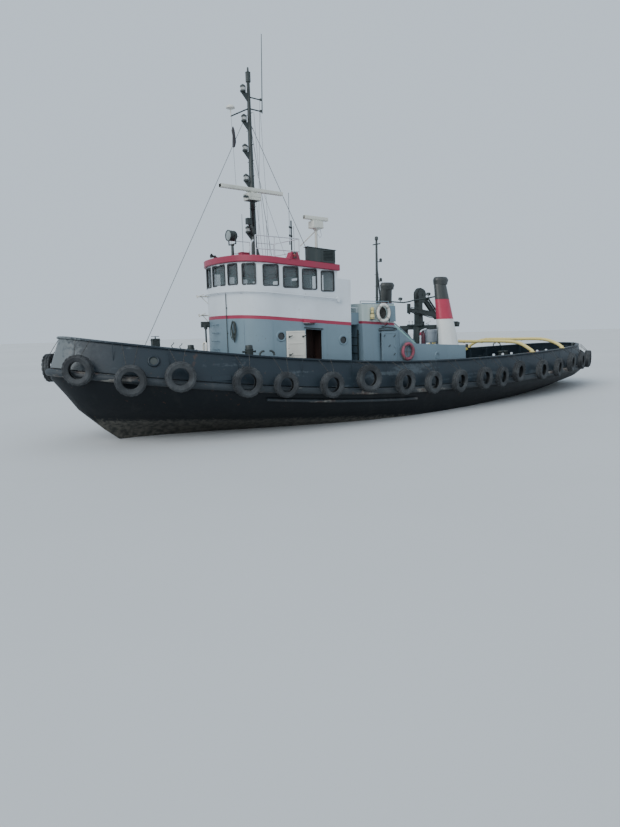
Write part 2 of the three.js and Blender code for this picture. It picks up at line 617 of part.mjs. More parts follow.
// Bridge between casing and house, cut back where the wheelhouse door swings over it
add('alley_platform', box([CASING_FRONT_X + GAP, HOUSE_AFT_X - GAP], [-2300, 2300], [3600, 4050])
  .subtract(box([5390, 5900], [-430, 560], [3600, 4300])), paint.grey);
const ladderX = CASING_FRONT_X + 60;
const rungs = Array.from({ length: 6 }, (_, i) => bar([ladderX, 1900, 1600 + i * 300], [ladderX, 2300, 1600 + i * 300],
  14, 14, 6));
const stiles = [1900, 2300].map((y) => beam([ladderX, y, 1420], [ladderX, y, 3400], 50, 24));
const feet = [1900, 2300].map((y) => box([CASING_FRONT_X + GAP, ladderX], [y - 12, y + 12], [3200, 3240]));
add('alley_ladder', join(...stiles, ...rungs, ...feet), paint.black);

// Funnels: tapered, oval, leaning inboard, each with a hood that overhangs aft

const FUNNEL_BASE = { x: -660, y: 2080, z: LOW_TOP_Z + LOW_SLOPE * CASING_AFT_X, half: [560, 370] };
const FUNNEL_TOP = { x: -580, y: 1640, z: 5380, half: [330, 210] };
function oval(place, half, z, count = 14) {
  return Array.from({ length: count }, (_, i) => {
    const a = (2 * Math.PI * (i + 0.5)) / count;
    return [place.x + half[0] * Math.cos(a), place.y + half[1] * Math.sin(a), z];
  });
}
function tube(outer, inner) {
  const count = outer[0].length;
  const rings = [...outer, ...inner];
  const triangles = [];
  for (let level = 0; level < rings.length; level += 1) {
    const next = (level + 1) % rings.length;
    for (let i = 0; i < count; i += 1) {
      const j = (i + 1) % count;
      triangles.push([level * count + i, level * count + j, next * count + i],
        [level * count + j, next * count + j, next * count + i]);
    }
  }
  return closedMesh(rings.flat(), triangles);
}
function tierLoft(rings) {
  const count = rings[0].length;
  const last = rings.length - 1;
  const triangles = [];
  for (let level = 0; level < last; level += 1) {
    for (let i = 0; i < count; i += 1) {
      const j = (i + 1) % count;
      triangles.push([level * count + i, level * count + j, (level + 1) * count + i],
        [level * count + j, (level + 1) * count + j, (level + 1) * count + i]);
    }
  }
  for (let i = 1; i < count - 1; i += 1) {
    triangles.push([0, i + 1, i], [last * count, last * count + i, last * count + i + 1]);
  }
  return closedMesh(rings.flat(), triangles);
}
const shrunk = (half, by) => half.map((v) => v - by);
const casingOuterLeaned = leaningSides(casingOuter);
const liftedCasing = moved(casingOuterLeaned, 0, 0, GAP);
const funnel = tube(
  [oval(FUNNEL_BASE, FUNNEL_BASE.half, FUNNEL_BASE.z - 60), oval(FUNNEL_TOP, FUNNEL_TOP.half, FUNNEL_TOP.z)],
  [oval(FUNNEL_TOP, shrunk(FUNNEL_TOP.half, 40), FUNNEL_TOP.z),
    oval(FUNNEL_BASE, shrunk(FUNNEL_BASE.half, 40), FUNNEL_BASE.z - 60)]).subtract(liftedCasing);
const hood = tube(
  [oval({ x: -620, y: 1640 }, [370, 250], FUNNEL_TOP.z - 80), oval({ x: -640, y: 1640 }, [420, 270], 5500),
    oval({ x: -630, y: 1640 }, [330, 210], 5630)],
  [oval({ x: -630, y: 1640 }, [290, 170], 5630), oval({ x: -600, y: 1640 }, [300, 180], 5370),
    oval({ x: -600, y: 1640 }, [310, 190], FUNNEL_TOP.z - 80)]);
add('port_funnel', funnel.add(hood), paint.red);
add('starboard_funnel', mirrored(funnel.add(hood)), paint.red);

// Grey round-cornered locker on short legs, on the low casing between crane and port funnel
const LOCKER = { x: -650, y: 1080 };
const lockerDeck = LOW_TOP_Z + LOW_SLOPE * LOCKER.x;
add('casing_locker', join(tierLoft([oval(LOCKER, [350, 300], lockerDeck + 130, 12), oval(LOCKER, [350, 300], 3330, 12)]),
  ...[-1, 1].flatMap((a) => [-1, 1].map((b) => box([LOCKER.x + a * 190 - 25, LOCKER.x + a * 190 + 25],
    [LOCKER.y + b * 160 - 25, LOCKER.y + b * 160 + 25], [lockerDeck - 40, lockerDeck + 200]))))
  .subtract(liftedCasing), paint.grey);

// Folding deck crane: base with its cross beam, column, boom folded down aft, jib folded forward

const CRANE = { x: -800, y: 200 };
const craneTop = LOW_TOP_Z + LOW_SLOPE * CRANE.x;
add('crane_base', join(bar([CRANE.x, CRANE.y, craneTop - 30], [CRANE.x, CRANE.y, 3560], 260, 240, 12),
  box([CRANE.x - 150, CRANE.x + 150], [CRANE.y - 1050, CRANE.y + 1070], [3340, 3540])).subtract(liftedCasing),
paint.black);
const BOOM_PIVOT = [-960, 4960];
const JIB_PIVOT = [-2070, 3900];
const PIN = 24;
const EYE = 52;
const LIFT_BASE = [-1080, 3660];
const boomWay = new THREE.Vector2(JIB_PIVOT[0] - BOOM_PIVOT[0], JIB_PIVOT[1] - BOOM_PIVOT[1]).normalize();
const onBoom = (along, below) => [BOOM_PIVOT[0] + boomWay.x * along - boomWay.y * below,
  BOOM_PIVOT[1] + boomWay.y * along + boomWay.x * below];
const LIFT_EYE = onBoom(280, 215);
const FOLD_BASE = onBoom(420, -135);
const JIB_Y = CRANE.y + 240;
const FOLD_Y = CRANE.y + 127;
const JIB_TIP = [120, 4260];
const jibWay = new THREE.Vector2(JIB_TIP[0] - JIB_PIVOT[0], JIB_TIP[1] - JIB_PIVOT[1]).normalize();
// The fold cylinder pushes on a short lever that stands up from the jib's hub
const FOLD_LEVER = 180;
const leverWay = Math.atan2(FOLD_BASE[1] - JIB_PIVOT[1], FOLD_BASE[0] - JIB_PIVOT[0]) + 0.66;
const FOLD_EYE = [JIB_PIVOT[0] + FOLD_LEVER * Math.cos(leverWay), JIB_PIVOT[1] + FOLD_LEVER * Math.sin(leverWay)];
const across = ([x, z], y, radius, n = 12) => bar([x, y[0], z], [x, y[1], z], radius, radius, n);
const lug = (from, to, y, half) => beam([from[0], (y[0] + y[1]) / 2, from[1]], [to[0], (y[0] + y[1]) / 2, to[1]],
  y[1] - y[0], half * 2);

add('crane_column', join(bar([CRANE.x, CRANE.y, 3560 + GAP], [CRANE.x, CRANE.y, 3600], 168, 168, 14),
  beam([CRANE.x, CRANE.y, 3590], [CRANE.x, CRANE.y, 4700], 280, 280),
  ...[-1, 1].flatMap((side) => [
    box([BOOM_PIVOT[0] - 110, CRANE.x + 140],
      [Math.min(CRANE.y + side * 95, CRANE.y + side * 150), Math.max(CRANE.y + side * 95, CRANE.y + side * 150)],
      [4600, 4960]),
    across([-900, 4950], [Math.min(CRANE.y + side * 95, CRANE.y + side * 150),
      Math.max(CRANE.y + side * 95, CRANE.y + side * 150)], 270, 20),
    box([LIFT_BASE[0] - 50, CRANE.x],
      [Math.min(CRANE.y + side * 56, CRANE.y + side * 90), Math.max(CRANE.y + side * 56, CRANE.y + side * 90)],
      [3580, LIFT_BASE[1] + 60])]),
  box([CRANE.x + 60, CRANE.x + 140], [CRANE.y - 150, CRANE.y + 150], [4600, 5040]),
  across(BOOM_PIVOT, [CRANE.y - 120, CRANE.y + 120], 45),
  across(LIFT_BASE, [CRANE.y - 70, CRANE.y + 70], PIN)), paint.black);

add('crane_boom', join(across(BOOM_PIVOT, [CRANE.y - 95 + GAP, CRANE.y + 95 - GAP], 105),
  beam([...[BOOM_PIVOT[0], CRANE.y, BOOM_PIVOT[1]]], [JIB_PIVOT[0], CRANE.y, JIB_PIVOT[1]], 140, 170),
  ...[-1, 1].map((side) => lug(onBoom(280, 0), onBoom(280, 245),
    [CRANE.y + side * 63 - 7, CRANE.y + side * 63 + 7], 50)),
  lug(onBoom(420, 0), onBoom(420, -185), [CRANE.y + 40, FOLD_Y - 40 - GAP], 55),
  across(FOLD_BASE, [CRANE.y + 50, FOLD_Y + 44], PIN),
  across(JIB_PIVOT, [CRANE.y - 75, CRANE.y + 75], 100), across(JIB_PIVOT, [CRANE.y + 60, FOLD_Y + 47 - GAP], 60),
  across(JIB_PIVOT, [CRANE.y + 60, JIB_Y + 90], 45))
  .subtract(across(BOOM_PIVOT, [CRANE.y - 200, CRANE.y + 200], 49)), paint.black);

add('crane_jib', join(across(JIB_PIVOT, [JIB_Y - 62, JIB_Y + 62], 100),
  beam([JIB_PIVOT[0], JIB_Y, JIB_PIVOT[1]], [JIB_TIP[0], JIB_Y, JIB_TIP[1]], 120, 140),
  lug(JIB_PIVOT, [FOLD_EYE[0] * 1.15 - JIB_PIVOT[0] * 0.15, FOLD_EYE[1] * 1.15 - JIB_PIVOT[1] * 0.15],
    [FOLD_Y + 47, JIB_Y + 10], 42),
  slab([[JIB_TIP[0] - 40, 4040], [JIB_TIP[0] + 20, 4120], [JIB_TIP[0] + 80, 4300], [JIB_TIP[0] + 60, 4520],
    [JIB_TIP[0] - 60, 4500]], [JIB_Y - 50, JIB_Y + 50])).subtract(across(JIB_PIVOT, [JIB_Y - 200, JIB_Y + 200], 49)), paint.black);

// Cylinder drawn closed, as at rest: a barrel with its eye, and the rod that runs in it. The rod's eye holds its
// own pin and stands free between the lugs, since the true path of the eye isn't quite even
function cylinder(name, base, eye, y, thick) {
  const way = new THREE.Vector2(eye[0] - base[0], eye[1] - base[1]);
  const length = way.length();
  way.normalize();
  const at = (along) => [base[0] + way.x * along, y, base[1] + way.y * along];
  const eyeRing = (centre, half) => across(centre, [y - half, y + half], EYE, 12);
  const hole = (centre) => across(centre, [y - 200, y + 200], PIN + 3, 12);
  const barrelEnd = length - EYE - 26;
  add(`${name}_barrel`, join(eyeRing(base, thick), bar(at(30), at(barrelEnd), 40, 40, 12))
    .subtract(bar(at(100), at(length), 21.4, 21.4, 12)).subtract(hole(base)), paint.grey);
  add(`${name}_rod`, join(eyeRing(eye, thick - 5), bar(at(110), at(length - 30), 21, 21, 12)), paint.steel);
}
cylinder('boom_cylinder', LIFT_BASE, LIFT_EYE, CRANE.y, 56 - GAP);
cylinder('jib_cylinder', FOLD_BASE, FOLD_EYE, FOLD_Y, 40);

// Masts

const MAST_X = 8200;
const roofAt = (x) => ROOF_TOP_Z + HOUSE_SLOPE * (x - HOUSE_MID_X);
const liftedRoof = moved(lean(roof), 0, 0, GAP);
// Heights of the lamp brackets on the forward side of the mast
const LAMP_Z = [7050, 8900, 9950, 10980, 12000];
const lampBrackets = LAMP_Z.flatMap((z) => [
  slab([[MAST_X, z - 330], [MAST_X + 300, z - 20], [MAST_X + 300, z + 10], [MAST_X, z + 10]], [-30, 30]),
  bar([MAST_X + 240, 0, z], [MAST_X + 240, 0, z + 230], 85, 85, 8)]);
const RADAR_X = 8990;
const RADAR_Y = 1160;
const RADAR_Z = 7980;
const radarArm = beam([MAST_X, 0, RADAR_Z - 60], [RADAR_X, RADAR_Y, RADAR_Z - 60], 140, 90);
const radarGearbox = join(box([RADAR_X - 230, RADAR_X + 230], [RADAR_Y - 170, RADAR_Y + 170],
  [RADAR_Z - 30, RADAR_Z + 210]), bar([RADAR_X, RADAR_Y, RADAR_Z + 200], [RADAR_X, RADAR_Y, RADAR_Z + 240],
  90, 90, 12));
const radarStrut = beam([MAST_X, 0, RADAR_Z - 700], [RADAR_X - 120, RADAR_Y - 180, RADAR_Z - 80], 60, 60);
const mast = add('main_mast', join(bar([MAST_X, 0, roofAt(MAST_X) - 28], [MAST_X, 0, roofAt(MAST_X) + 620], 330, 130, 10),
  bar([MAST_X, 0, roofAt(MAST_X) + 500], [MAST_X, 0, 12420], 125, 60, 10),
  bar([MAST_X, 0, 12400], [MAST_X, 0, 12720], 95, 95, 8),
  bar([MAST_X, 0, 11890], [MAST_X - 560, 0, 11890], 24, 24, 6),
  bar([MAST_X, 0, 11490], [MAST_X - 560, 0, 11490], 24, 24, 6),
  bar([MAST_X, 0, 11500], [MAST_X + 800, 0, 11080], 26, 26, 6),
  bar([MAST_X - 575, 0, 11430], [MAST_X - 655, 0, 14200], 20, 12, 6),
  ...lampBrackets, radarArm, radarStrut, radarGearbox).subtract(liftedRoof), paint.black);
const SCANNER_LENGTH = 2580;
add('main_radar_scanner', join(
  box([RADAR_X - SCANNER_LENGTH / 2, RADAR_X + SCANNER_LENGTH / 2], [RADAR_Y - 75, RADAR_Y + 75],
    [RADAR_Z + 290, RADAR_Z + 410]),
  bar([RADAR_X, RADAR_Y, RADAR_Z + 240 + GAP], [RADAR_X, RADAR_Y, RADAR_Z + 300], 80, 80, 12)), paint.white);

const POST_X = 6460;
const POST_Y = 1560;
const SMALL_Z = 7180;
add('small_radar_post', join(bar([POST_X, POST_Y, roofAt(POST_X) - 30], [POST_X, POST_Y, SMALL_Z], 55, 55, 10),
  bar([6690, 880, 6600], [POST_X, POST_Y, SMALL_Z - 80], 22, 22, 6),
  box([POST_X - 230, POST_X + 230], [POST_Y - 150, POST_Y + 150], [SMALL_Z - 20, SMALL_Z + 240])
).subtract(liftedRoof), paint.white);
const SMALL_LENGTH = 1100;
add('small_radar_scanner', join(
  box([POST_X - SMALL_LENGTH / 2, POST_X + SMALL_LENGTH / 2], [POST_Y - 70, POST_Y + 70],
    [SMALL_Z + 290, SMALL_Z + 420]),
  bar([POST_X, POST_Y, SMALL_Z + 240 + GAP], [POST_X, POST_Y, SMALL_Z + 300], 70, 70, 12)), paint.white);

const AFT_MAST_X = 1720;
const aftFoot = LOW_TOP_Z + LOW_SLOPE * AFT_MAST_X;
add('aft_mast', join(bar([AFT_MAST_X, 0, aftFoot - 50], [AFT_MAST_X, 0, 7280], 75, 45, 8),
  bar([AFT_MAST_X - 500, 0, aftFoot - 50], [AFT_MAST_X, 0, 6200], 35, 35, 6),
  bar([AFT_MAST_X, -220, 7100], [AFT_MAST_X, 220, 7100], 25, 25, 6)).subtract(liftedCasing), paint.black);

// Main stays, straight and taut
const stay = (from, to) => bar(from, to, 11, 11, 6);
const FORESTAY_FOOT = [13300, 0, deckZ(13300)];
add('forestay', stay([FORESTAY_FOOT[0] + 20, 0, FORESTAY_FOOT[2] - 40], [MAST_X + 282, 0, 10965])
  .subtract(liftedHull).subtract(moved(mast, GAP, 0, 0)).subtract(mast), paint.steel);
const backstay = stay([6350, 1300, roofAt(6350) - 20], [MAST_X - 40, 10, 10950])
  .subtract(liftedRoof).subtract(moved(mast, -GAP, 0, 0)).subtract(mast);
add('port_backstay', backstay, paint.steel);
add('starboard_backstay', mirrored(backstay), paint.steel);

// Gear on the wheelhouse roof

const SEARCH_X = 9150;
const searchZ = 6560;
add('searchlight_post', join(bar([SEARCH_X, 0, roofAt(SEARCH_X) - 30], [SEARCH_X, 0, searchZ], 60, 50, 10))
  .subtract(liftedRoof), paint.black);
add('searchlight_yoke', join(bar([SEARCH_X, 0, searchZ + GAP], [SEARCH_X, 0, searchZ + 50], 70, 70, 12),
  box([SEARCH_X - 25, SEARCH_X + 25], [-240, 240], [searchZ + 30, searchZ + 65]),
  box([SEARCH_X - 25, SEARCH_X + 25], [-240, -222], [searchZ + 40, searchZ + 420]),
  box([SEARCH_X - 25, SEARCH_X + 25], [222, 240], [searchZ + 40, searchZ + 420])), paint.black);
add('searchlight', join(
  bar([SEARCH_X - 150, 0, searchZ + 350], [SEARCH_X + 180, 0, searchZ + 350], 180, 195, 16),
  bar([SEARCH_X, -221.6, searchZ + 350], [SEARCH_X, 221.6, searchZ + 350], 22, 22, 8)), paint.black);

function sidelight(side) {
  const { x, y } = wallAt(3200);
  const z = roofAt(x);
  return slab([[x + 270, z - 35], [x - 230, z - 35], [x - 120, z + 240], [x + 130, z + 240]],
    [Math.min((y - 180) * side, (y + 60) * side), Math.max((y - 180) * side, (y + 60) * side)])
    .subtract(liftedRoof).subtract(moved(lean(roof), 0, GAP * side, 0));
}
add('port_sidelight', sidelight(1), paint.red);
add('starboard_sidelight', sidelight(-1), paint.green);
const lockerEnds = [3720, 4820].map(wallAt);
const lockerOut = lockerEnds.map(({ x, y, facing }) => [x + 70 * Math.cos(facing), y + 70 * Math.sin(facing)]);
const lockerIn = lockerEnds.map(({ x, y, facing }) => [x - 170 * Math.cos(facing), y - 170 * Math.sin(facing)]);
add('roof_locker', lean(prism([...lockerOut, ...lockerIn.reverse()], [ROOF_TOP_Z - 20, 6380]))
  .subtract(liftedRoof), paint.black);

const RAIL = { x: [6700, 8700], y: 820, top: 6880, mid: 6400 };
const railPosts = [];
for (const x of [RAIL.x[0], 7850]) {
  for (const side of sides) railPosts.push(bar([x, RAIL.y * side, roofAt(x) - 30], [x, RAIL.y * side, RAIL.top], 20, 20, 6));
}
const railRuns = [RAIL.top - 10, RAIL.mid].flatMap((z) => [
  bar([RAIL.x[0], -RAIL.y, z], [RAIL.x[0], RAIL.y, z], 18, 18, 6),
  ...sides.map((side) => bar([RAIL.x[0] - 10, RAIL.y * side, z], [RAIL.x[1], RAIL.y * side, z], 18, 18, 6))]);
const railEnds = sides.map((side) => bar([RAIL.x[1] - 10, RAIL.y * side, roofAt(RAIL.x[1]) - 30],
  [RAIL.x[1] - 10, RAIL.y * side, RAIL.top], 20, 20, 6));
add('roof_rail', join(...railPosts, ...railRuns, ...railEnds).subtract(liftedRoof), paint.white);

// Life rings on the casing's sides
function lifeRing(x, z, side) {
  const geometry = new THREE.TorusGeometry(310, 62, 8, 20);
  geometry.rotateX(Math.PI / 2);
  geometry.translate(x, 2640 * side, z);
  const hook = box([x - 40, x + 40], [Math.min(2450 * side, 2640 * side), Math.max(2450 * side, 2640 * side)],
    [z + 230, z + 290]);
  return solid(geometry).add(hook).subtract(moved(casingOuterLeaned, 0, GAP * side, 0));
}
add('white_life_ring', lifeRing(4030, 4030, 1), paint.white);
add('red_life_ring', lifeRing(2630, 2480, 1), paint.red);

// Tow hook on its stand, and the two beams that carry the towline over the aft deck

const HOOK_X = -3900;
const standDeck = deckZ(HOOK_X);
add('tow_hook_stand', join(box([HOOK_X + 10, HOOK_X + 500], [-350, 350], [standDeck - 20, 2250]),
  box([HOOK_X - 150, HOOK_X + 50], [-200, 200], [2100, 2160]), box([HOOK_X - 150, HOOK_X + 50], [-200, 200], [2360, 2420]),
  box([HOOK_X + 10, HOOK_X + 300], [-200, 200], [2100, 2420])).subtract(liftedHull), paint.black);
add('tow_hook', join(bar([HOOK_X - 90, 0, 2160 + GAP], [HOOK_X - 90, 0, 2360 - GAP], 70, 70, 12),
  box([HOOK_X - 620, HOOK_X - 90], [-60, 60], [2200, 2320]),
  slab([[HOOK_X - 600, 2200], [HOOK_X - 880, 2260], [HOOK_X - 900, 2520], [HOOK_X - 820, 2540],
    [HOOK_X - 800, 2360], [HOOK_X - 600, 2320]], [-60, 60])), paint.black);

function towBeam(x, footY, spread, rise) {
  const foot = deckZ(x) + BULWARK_HEIGHT + 60;
  const top = deckZ(x) + BULWARK_HEIGHT + rise;
  const points = [[x, footY, foot], [x, footY - 260, foot + 160], [x, footY - 700, top - 90], [x, spread, top],
    [x, 0, top], [x, -spread, top], [x, 700 - footY, top - 90], [x, 260 - footY, foot + 160], [x, -footY, foot]];
  const feet = sides.map((side) => bar([x, footY * side, foot - 90], [x, footY * side, foot + 30], 72, 72, 10));
  return join(pipe(points, 80, 22, 8), ...feet).subtract(moved(bulwark, 0, 0, GAP));
}
add('forward_tow_beam', towBeam(-5250, deckEdge(-5250).y - BULWARK_LEAN - 30, 2000, 520), paint.yellow);
add('aft_tow_beam', towBeam(-8850, deckEdge(-8850).y - BULWARK_LEAN - 30, 1700, 480), paint.yellow);

// Bollards: a pair of posts on a plate
function bollard(x, y, height, spacing = 520) {
  const z = deckZ(x);
  return join(box([x - spacing / 2 - 260, x + spacing / 2 + 260], [y - 210, y + 210], [z - 100, z + 60]),
    ...[-spacing / 2, spacing / 2].flatMap((dx) => [
      bar([x + dx, y, z], [x + dx, y, z + height], 125, 125, 12),
      bar([x + dx, y, z + height - 60], [x + dx, y, z + height + 30], 165, 165, 12)])).subtract(liftedHull);
}
// Each fore bollard is one tall post with a pin across it
function pinnedPost(x, y, height) {
  const z = deckZ(x);
  return join(box([x - 310, x + 310], [y - 250, y + 250], [z - 100, z + 60]),
    bar([x, y, z], [x, y, z + height - 150], 150, 140, 14), bar([x, y, z + height - 160], [x, y, z + height], 130, 115, 14),
    bar([x - 250, y, z + height - 230], [x + 250, y, z + height - 230], 30, 30, 8)).subtract(liftedHull);
}
add('port_fore_bollard', pinnedPost(9950, 2050, 1310), paint.black);
add('starboard_fore_bollard', pinnedPost(9950, -2050, 1310), paint.black);
add('port_aft_bollard', bollard(-11000, 2050, 620), paint.black);
add('starboard_aft_bollard', bollard(-11000, -2050, 620), paint.black);

// Windlass on the foredeck, hatches fore and aft
const WIND_X = 12250;
const windDeck = deckZ(WIND_X);
add('windlass_frame', join(box([WIND_X - 350, WIND_X + 350], [-620, 620], [windDeck - 100, windDeck + 120]),
  box([WIND_X - 200, WIND_X + 200], [-560, -480], [windDeck, windDeck + 780]),
  box([WIND_X - 200, WIND_X + 200], [480, 560], [windDeck, windDeck + 780]),
  box([WIND_X - 270, WIND_X + 10], [-640, -480], [windDeck + 600, windDeck + 1330])).subtract(liftedHull), paint.black);
add('windlass_drum', join(bar([WIND_X, -479.6, windDeck + 560], [WIND_X, 479.6, windDeck + 560], 190, 190, 16),
  bar([WIND_X, -479.6, windDeck + 560], [WIND_X, -434, windDeck + 560], 300, 300, 16),
  bar([WIND_X, 434, windDeck + 560], [WIND_X, 479.6, windDeck + 560], 300, 300, 16)), paint.black);

function hatch(name, x, halfX, halfY, height, material) {
  const z = deckZ(x);
  const coaming = box([x - halfX, x + halfX], [-halfY, halfY], [z - 200, z + height])
    .subtract(box([x - halfX + 40, x + halfX - 40], [40 - halfY, halfY - 40], [z - 300, z + height + 10]));
  add(`${name}_coaming`, coaming.subtract(liftedHull), material);
  const top = z + height + GAP;
  add(`${name}_lid`, join(box([x - halfX - 30, x + halfX + 30], [-halfY - 30, halfY + 30], [top, top + 50]),
    bar([x - halfX - 60, -halfY, top + 25], [x - halfX - 60, halfY, top + 25], 22, 22, 8),
    box([x - halfX - 60, x - halfX], [-halfY + 60, halfY - 60], [top + 10, top + 40])), material);
}
add('foredeck_box', box([10690, 11410], [-420, 420], [deckZ(10690) - 30, deckZ(11050) + 560]).subtract(liftedHull),
  paint.grey);
hatch('aft_hatch', -11900, 520, 620, 460, paint.red);

export default group;
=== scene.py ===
import json
import math
import random
import bmesh
import bpy
from mathutils import Matrix, Vector


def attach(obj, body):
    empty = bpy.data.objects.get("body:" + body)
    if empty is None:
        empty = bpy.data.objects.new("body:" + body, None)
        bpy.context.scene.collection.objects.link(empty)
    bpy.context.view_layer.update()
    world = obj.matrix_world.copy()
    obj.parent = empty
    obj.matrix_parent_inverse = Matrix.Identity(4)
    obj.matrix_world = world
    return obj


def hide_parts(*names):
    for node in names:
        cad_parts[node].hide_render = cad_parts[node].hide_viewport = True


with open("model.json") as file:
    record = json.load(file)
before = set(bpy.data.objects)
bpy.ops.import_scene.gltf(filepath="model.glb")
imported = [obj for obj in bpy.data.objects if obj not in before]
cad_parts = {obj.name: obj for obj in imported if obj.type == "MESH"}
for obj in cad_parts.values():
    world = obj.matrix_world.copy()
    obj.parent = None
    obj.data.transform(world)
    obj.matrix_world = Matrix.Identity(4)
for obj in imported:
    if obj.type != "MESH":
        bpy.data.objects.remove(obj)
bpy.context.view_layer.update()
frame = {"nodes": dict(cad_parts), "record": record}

chance = random.Random(7)

# The view: a camera off the port bow, at eye height and leaning a little to one side, at the
# photograph's viewing angle.
eye = Vector((21.7075, 19.8323, 3.4))
ahead = Vector((-0.6225, -0.7715, -0.1317)).normalized()
level = ahead.cross(Vector((0, 0, 1))).normalized()
above = level.cross(ahead)
roll = math.radians(1.44)
right = level * math.cos(roll) - above * math.sin(roll)
upward = level * math.sin(roll) + above * math.cos(roll)
lens = bpy.data.cameras.new("quay_camera")
lens.sensor_fit, lens.sensor_width, lens.lens, lens.clip_end = "HORIZONTAL", 36.0, 36.06, 900.0
camera = bpy.data.objects.new("quay_camera", lens)
camera.matrix_world = Matrix.Translation(eye) @ Matrix((right, upward, -ahead)).transposed().to_4x4()
bpy.context.scene.collection.objects.link(camera)
bpy.context.scene.camera = camera


# Paint, rubber and glass. A finish is one shader with the nodes that vary it over the surface;
# what is worked out on the way is a wire, and sums and products of wires add Math nodes.
class Wire:
    def __init__(self, finish, socket):
        self.finish, self.socket = finish, socket

    def join(self, operation, first, second):
        return self.finish.node("ShaderNodeMath", {"operation": operation}, {0: first, 1: second})

    def __add__(self, other):
        return self.join("ADD", self, other)

    def __sub__(self, other):
        return self.join("SUBTRACT", self, other)

    def __mul__(self, other):
        return self.join("MULTIPLY", self, other)

    def __radd__(self, other):
        return self.join("ADD", other, self)

    def __rsub__(self, other):
        return self.join("SUBTRACT", other, self)

    def __rmul__(self, other):
        return self.join("MULTIPLY", other, self)

    def over(self, limit):
        return self.join("GREATER_THAN", self, limit)

    def under(self, limit):
        return self.join("LESS_THAN", self, limit)

    def soft(self, low, high):
        return self.finish.node("ShaderNodeMapRange", {"interpolation_type": "SMOOTHSTEP"},
                                {"Value": self, "From Min": low, "From Max": high})


class Finish:
    def __init__(self, name, roughness=0.5, metallic=0.0, **fixed):
        self.material = bpy.data.materials.new(name)
        self.material.use_nodes = True
        self.tree = self.material.node_tree
        self.shader = self.tree.nodes["Principled BSDF"]
        self.shader.inputs["Roughness"].default_value = roughness
        self.shader.inputs["Metallic"].default_value = metallic
        for socket, value in fixed.items():
            self.shader.inputs[socket.replace("_", " ")].default_value = value
        self.place = self.node("ShaderNodeTexCoord", {}, {}, "Object")
        self.x, self.y, self.z = (self.node("ShaderNodeSeparateXYZ", {}, {0: self.place}, i)
                                  for i in range(3))

    def node(self, kind, settings, sockets, output=0):
        made = self.tree.nodes.new(kind)
        for name, value in settings.items():
            setattr(made, name, value)
        for name, value in sockets.items():
            if isinstance(value, Wire):
                self.tree.links.new(value.socket, made.inputs[name])
            else:
                made.inputs[name].default_value = value
        return Wire(self, made.outputs[output])

    def feed(self, socket, value):
        if isinstance(value, Wire):
            self.tree.links.new(value.socket, self.shader.inputs[socket])
        else:
            self.shader.inputs[socket].default_value = value

    def mix(self, factor, first, second):
        first, second = ((*c, 1.0) if isinstance(c, tuple) else c for c in (first, second))
        return self.node("ShaderNodeMix", {"data_type": "RGBA"}, {0: factor, 6: first, 7: second}, 2)

    def noise(self, scale, detail=4.0, stretch=(1.0, 1.0, 1.0), rough=0.55):
        spot = self.place
        if stretch != (1.0, 1.0, 1.0):
            spot = self.node("ShaderNodeMapping", {}, {"Vector": spot, "Scale": stretch})
        return self.node("ShaderNodeTexNoise", {}, {"Vector": spot, "Scale": scale, "Detail": detail,
                                                    "Roughness": rough})

    def bump(self, height, strength, distance):
        self.feed("Normal", self.node("ShaderNodeBump", {}, {"Height": height, "Strength": strength,
                                                             "Distance": distance}))


def tinted(colour, by):
    return tuple(min(1.0, c * by) for c in colour)


def mottled(name, roughness, scale, dark, pale, spread=None, detail=4.0, metallic=0.0, **fixed):
    """A finish whose colour wanders between two tones."""
    finish = Finish(name, roughness, metallic, **fixed)
    patches = finish.noise(scale, detail)
    finish.feed("Base Color", finish.mix(patches.soft(*spread) if spread else patches, dark, pale))
    return finish


# Old ship's paint: brushed on thick and faded in clouds, with runs of dirt, chips down to the primer
# and rust that weeps down.
def ship_paint(name, colour, dirt=0.25, rust=0.2, roughness=0.55, dents=0.3, grime=(0.09, 0.085, 0.08)):
    paint = Finish(name, roughness)
    clouds = paint.noise(0.55, 5.0)
    runs = paint.noise(2.6, 5.0, (1.0, 1.0, 0.1))
    specks = paint.noise(9.0, 6.0)
    shade = paint.mix(clouds.soft(0.3, 0.7), tinted(colour, 0.9), tinted(colour, 1.07))
    shade = paint.mix(runs.soft(0.5, 0.78) * dirt, shade, grime)
    weeping = (paint.noise(3.4, 6.0, (1.0, 1.0, 0.3)) + specks * 0.35).soft(0.86, 0.98) * rust
    shade = paint.mix(weeping, shade, (0.11, 0.055, 0.032))
    chips = (specks + clouds * 0.3).soft(0.83, 0.86) * rust
    paint.colour = paint.mix(chips, shade, (0.1, 0.05, 0.03))
    paint.clouds, paint.runs, paint.specks, paint.weeping = clouds, runs, specks, weeping
    paint.feed("Base Color", paint.colour)
    paint.feed("Roughness", roughness + (specks - 0.5) * 0.25 + weeping * 0.3)
    paint.bump(paint.noise(1.3, 2.0) * dents + specks * 0.04 - chips * 0.05, 0.35, 0.03)
    return paint


# Every piece ends the same way: a mesh with smooth faces and sharp edges, on the body it moves with
# and in its slot's finish.
record = frame["record"]
body_with = {n: body for body, members in record["behaviour"]["bodies"].items() for n in members}


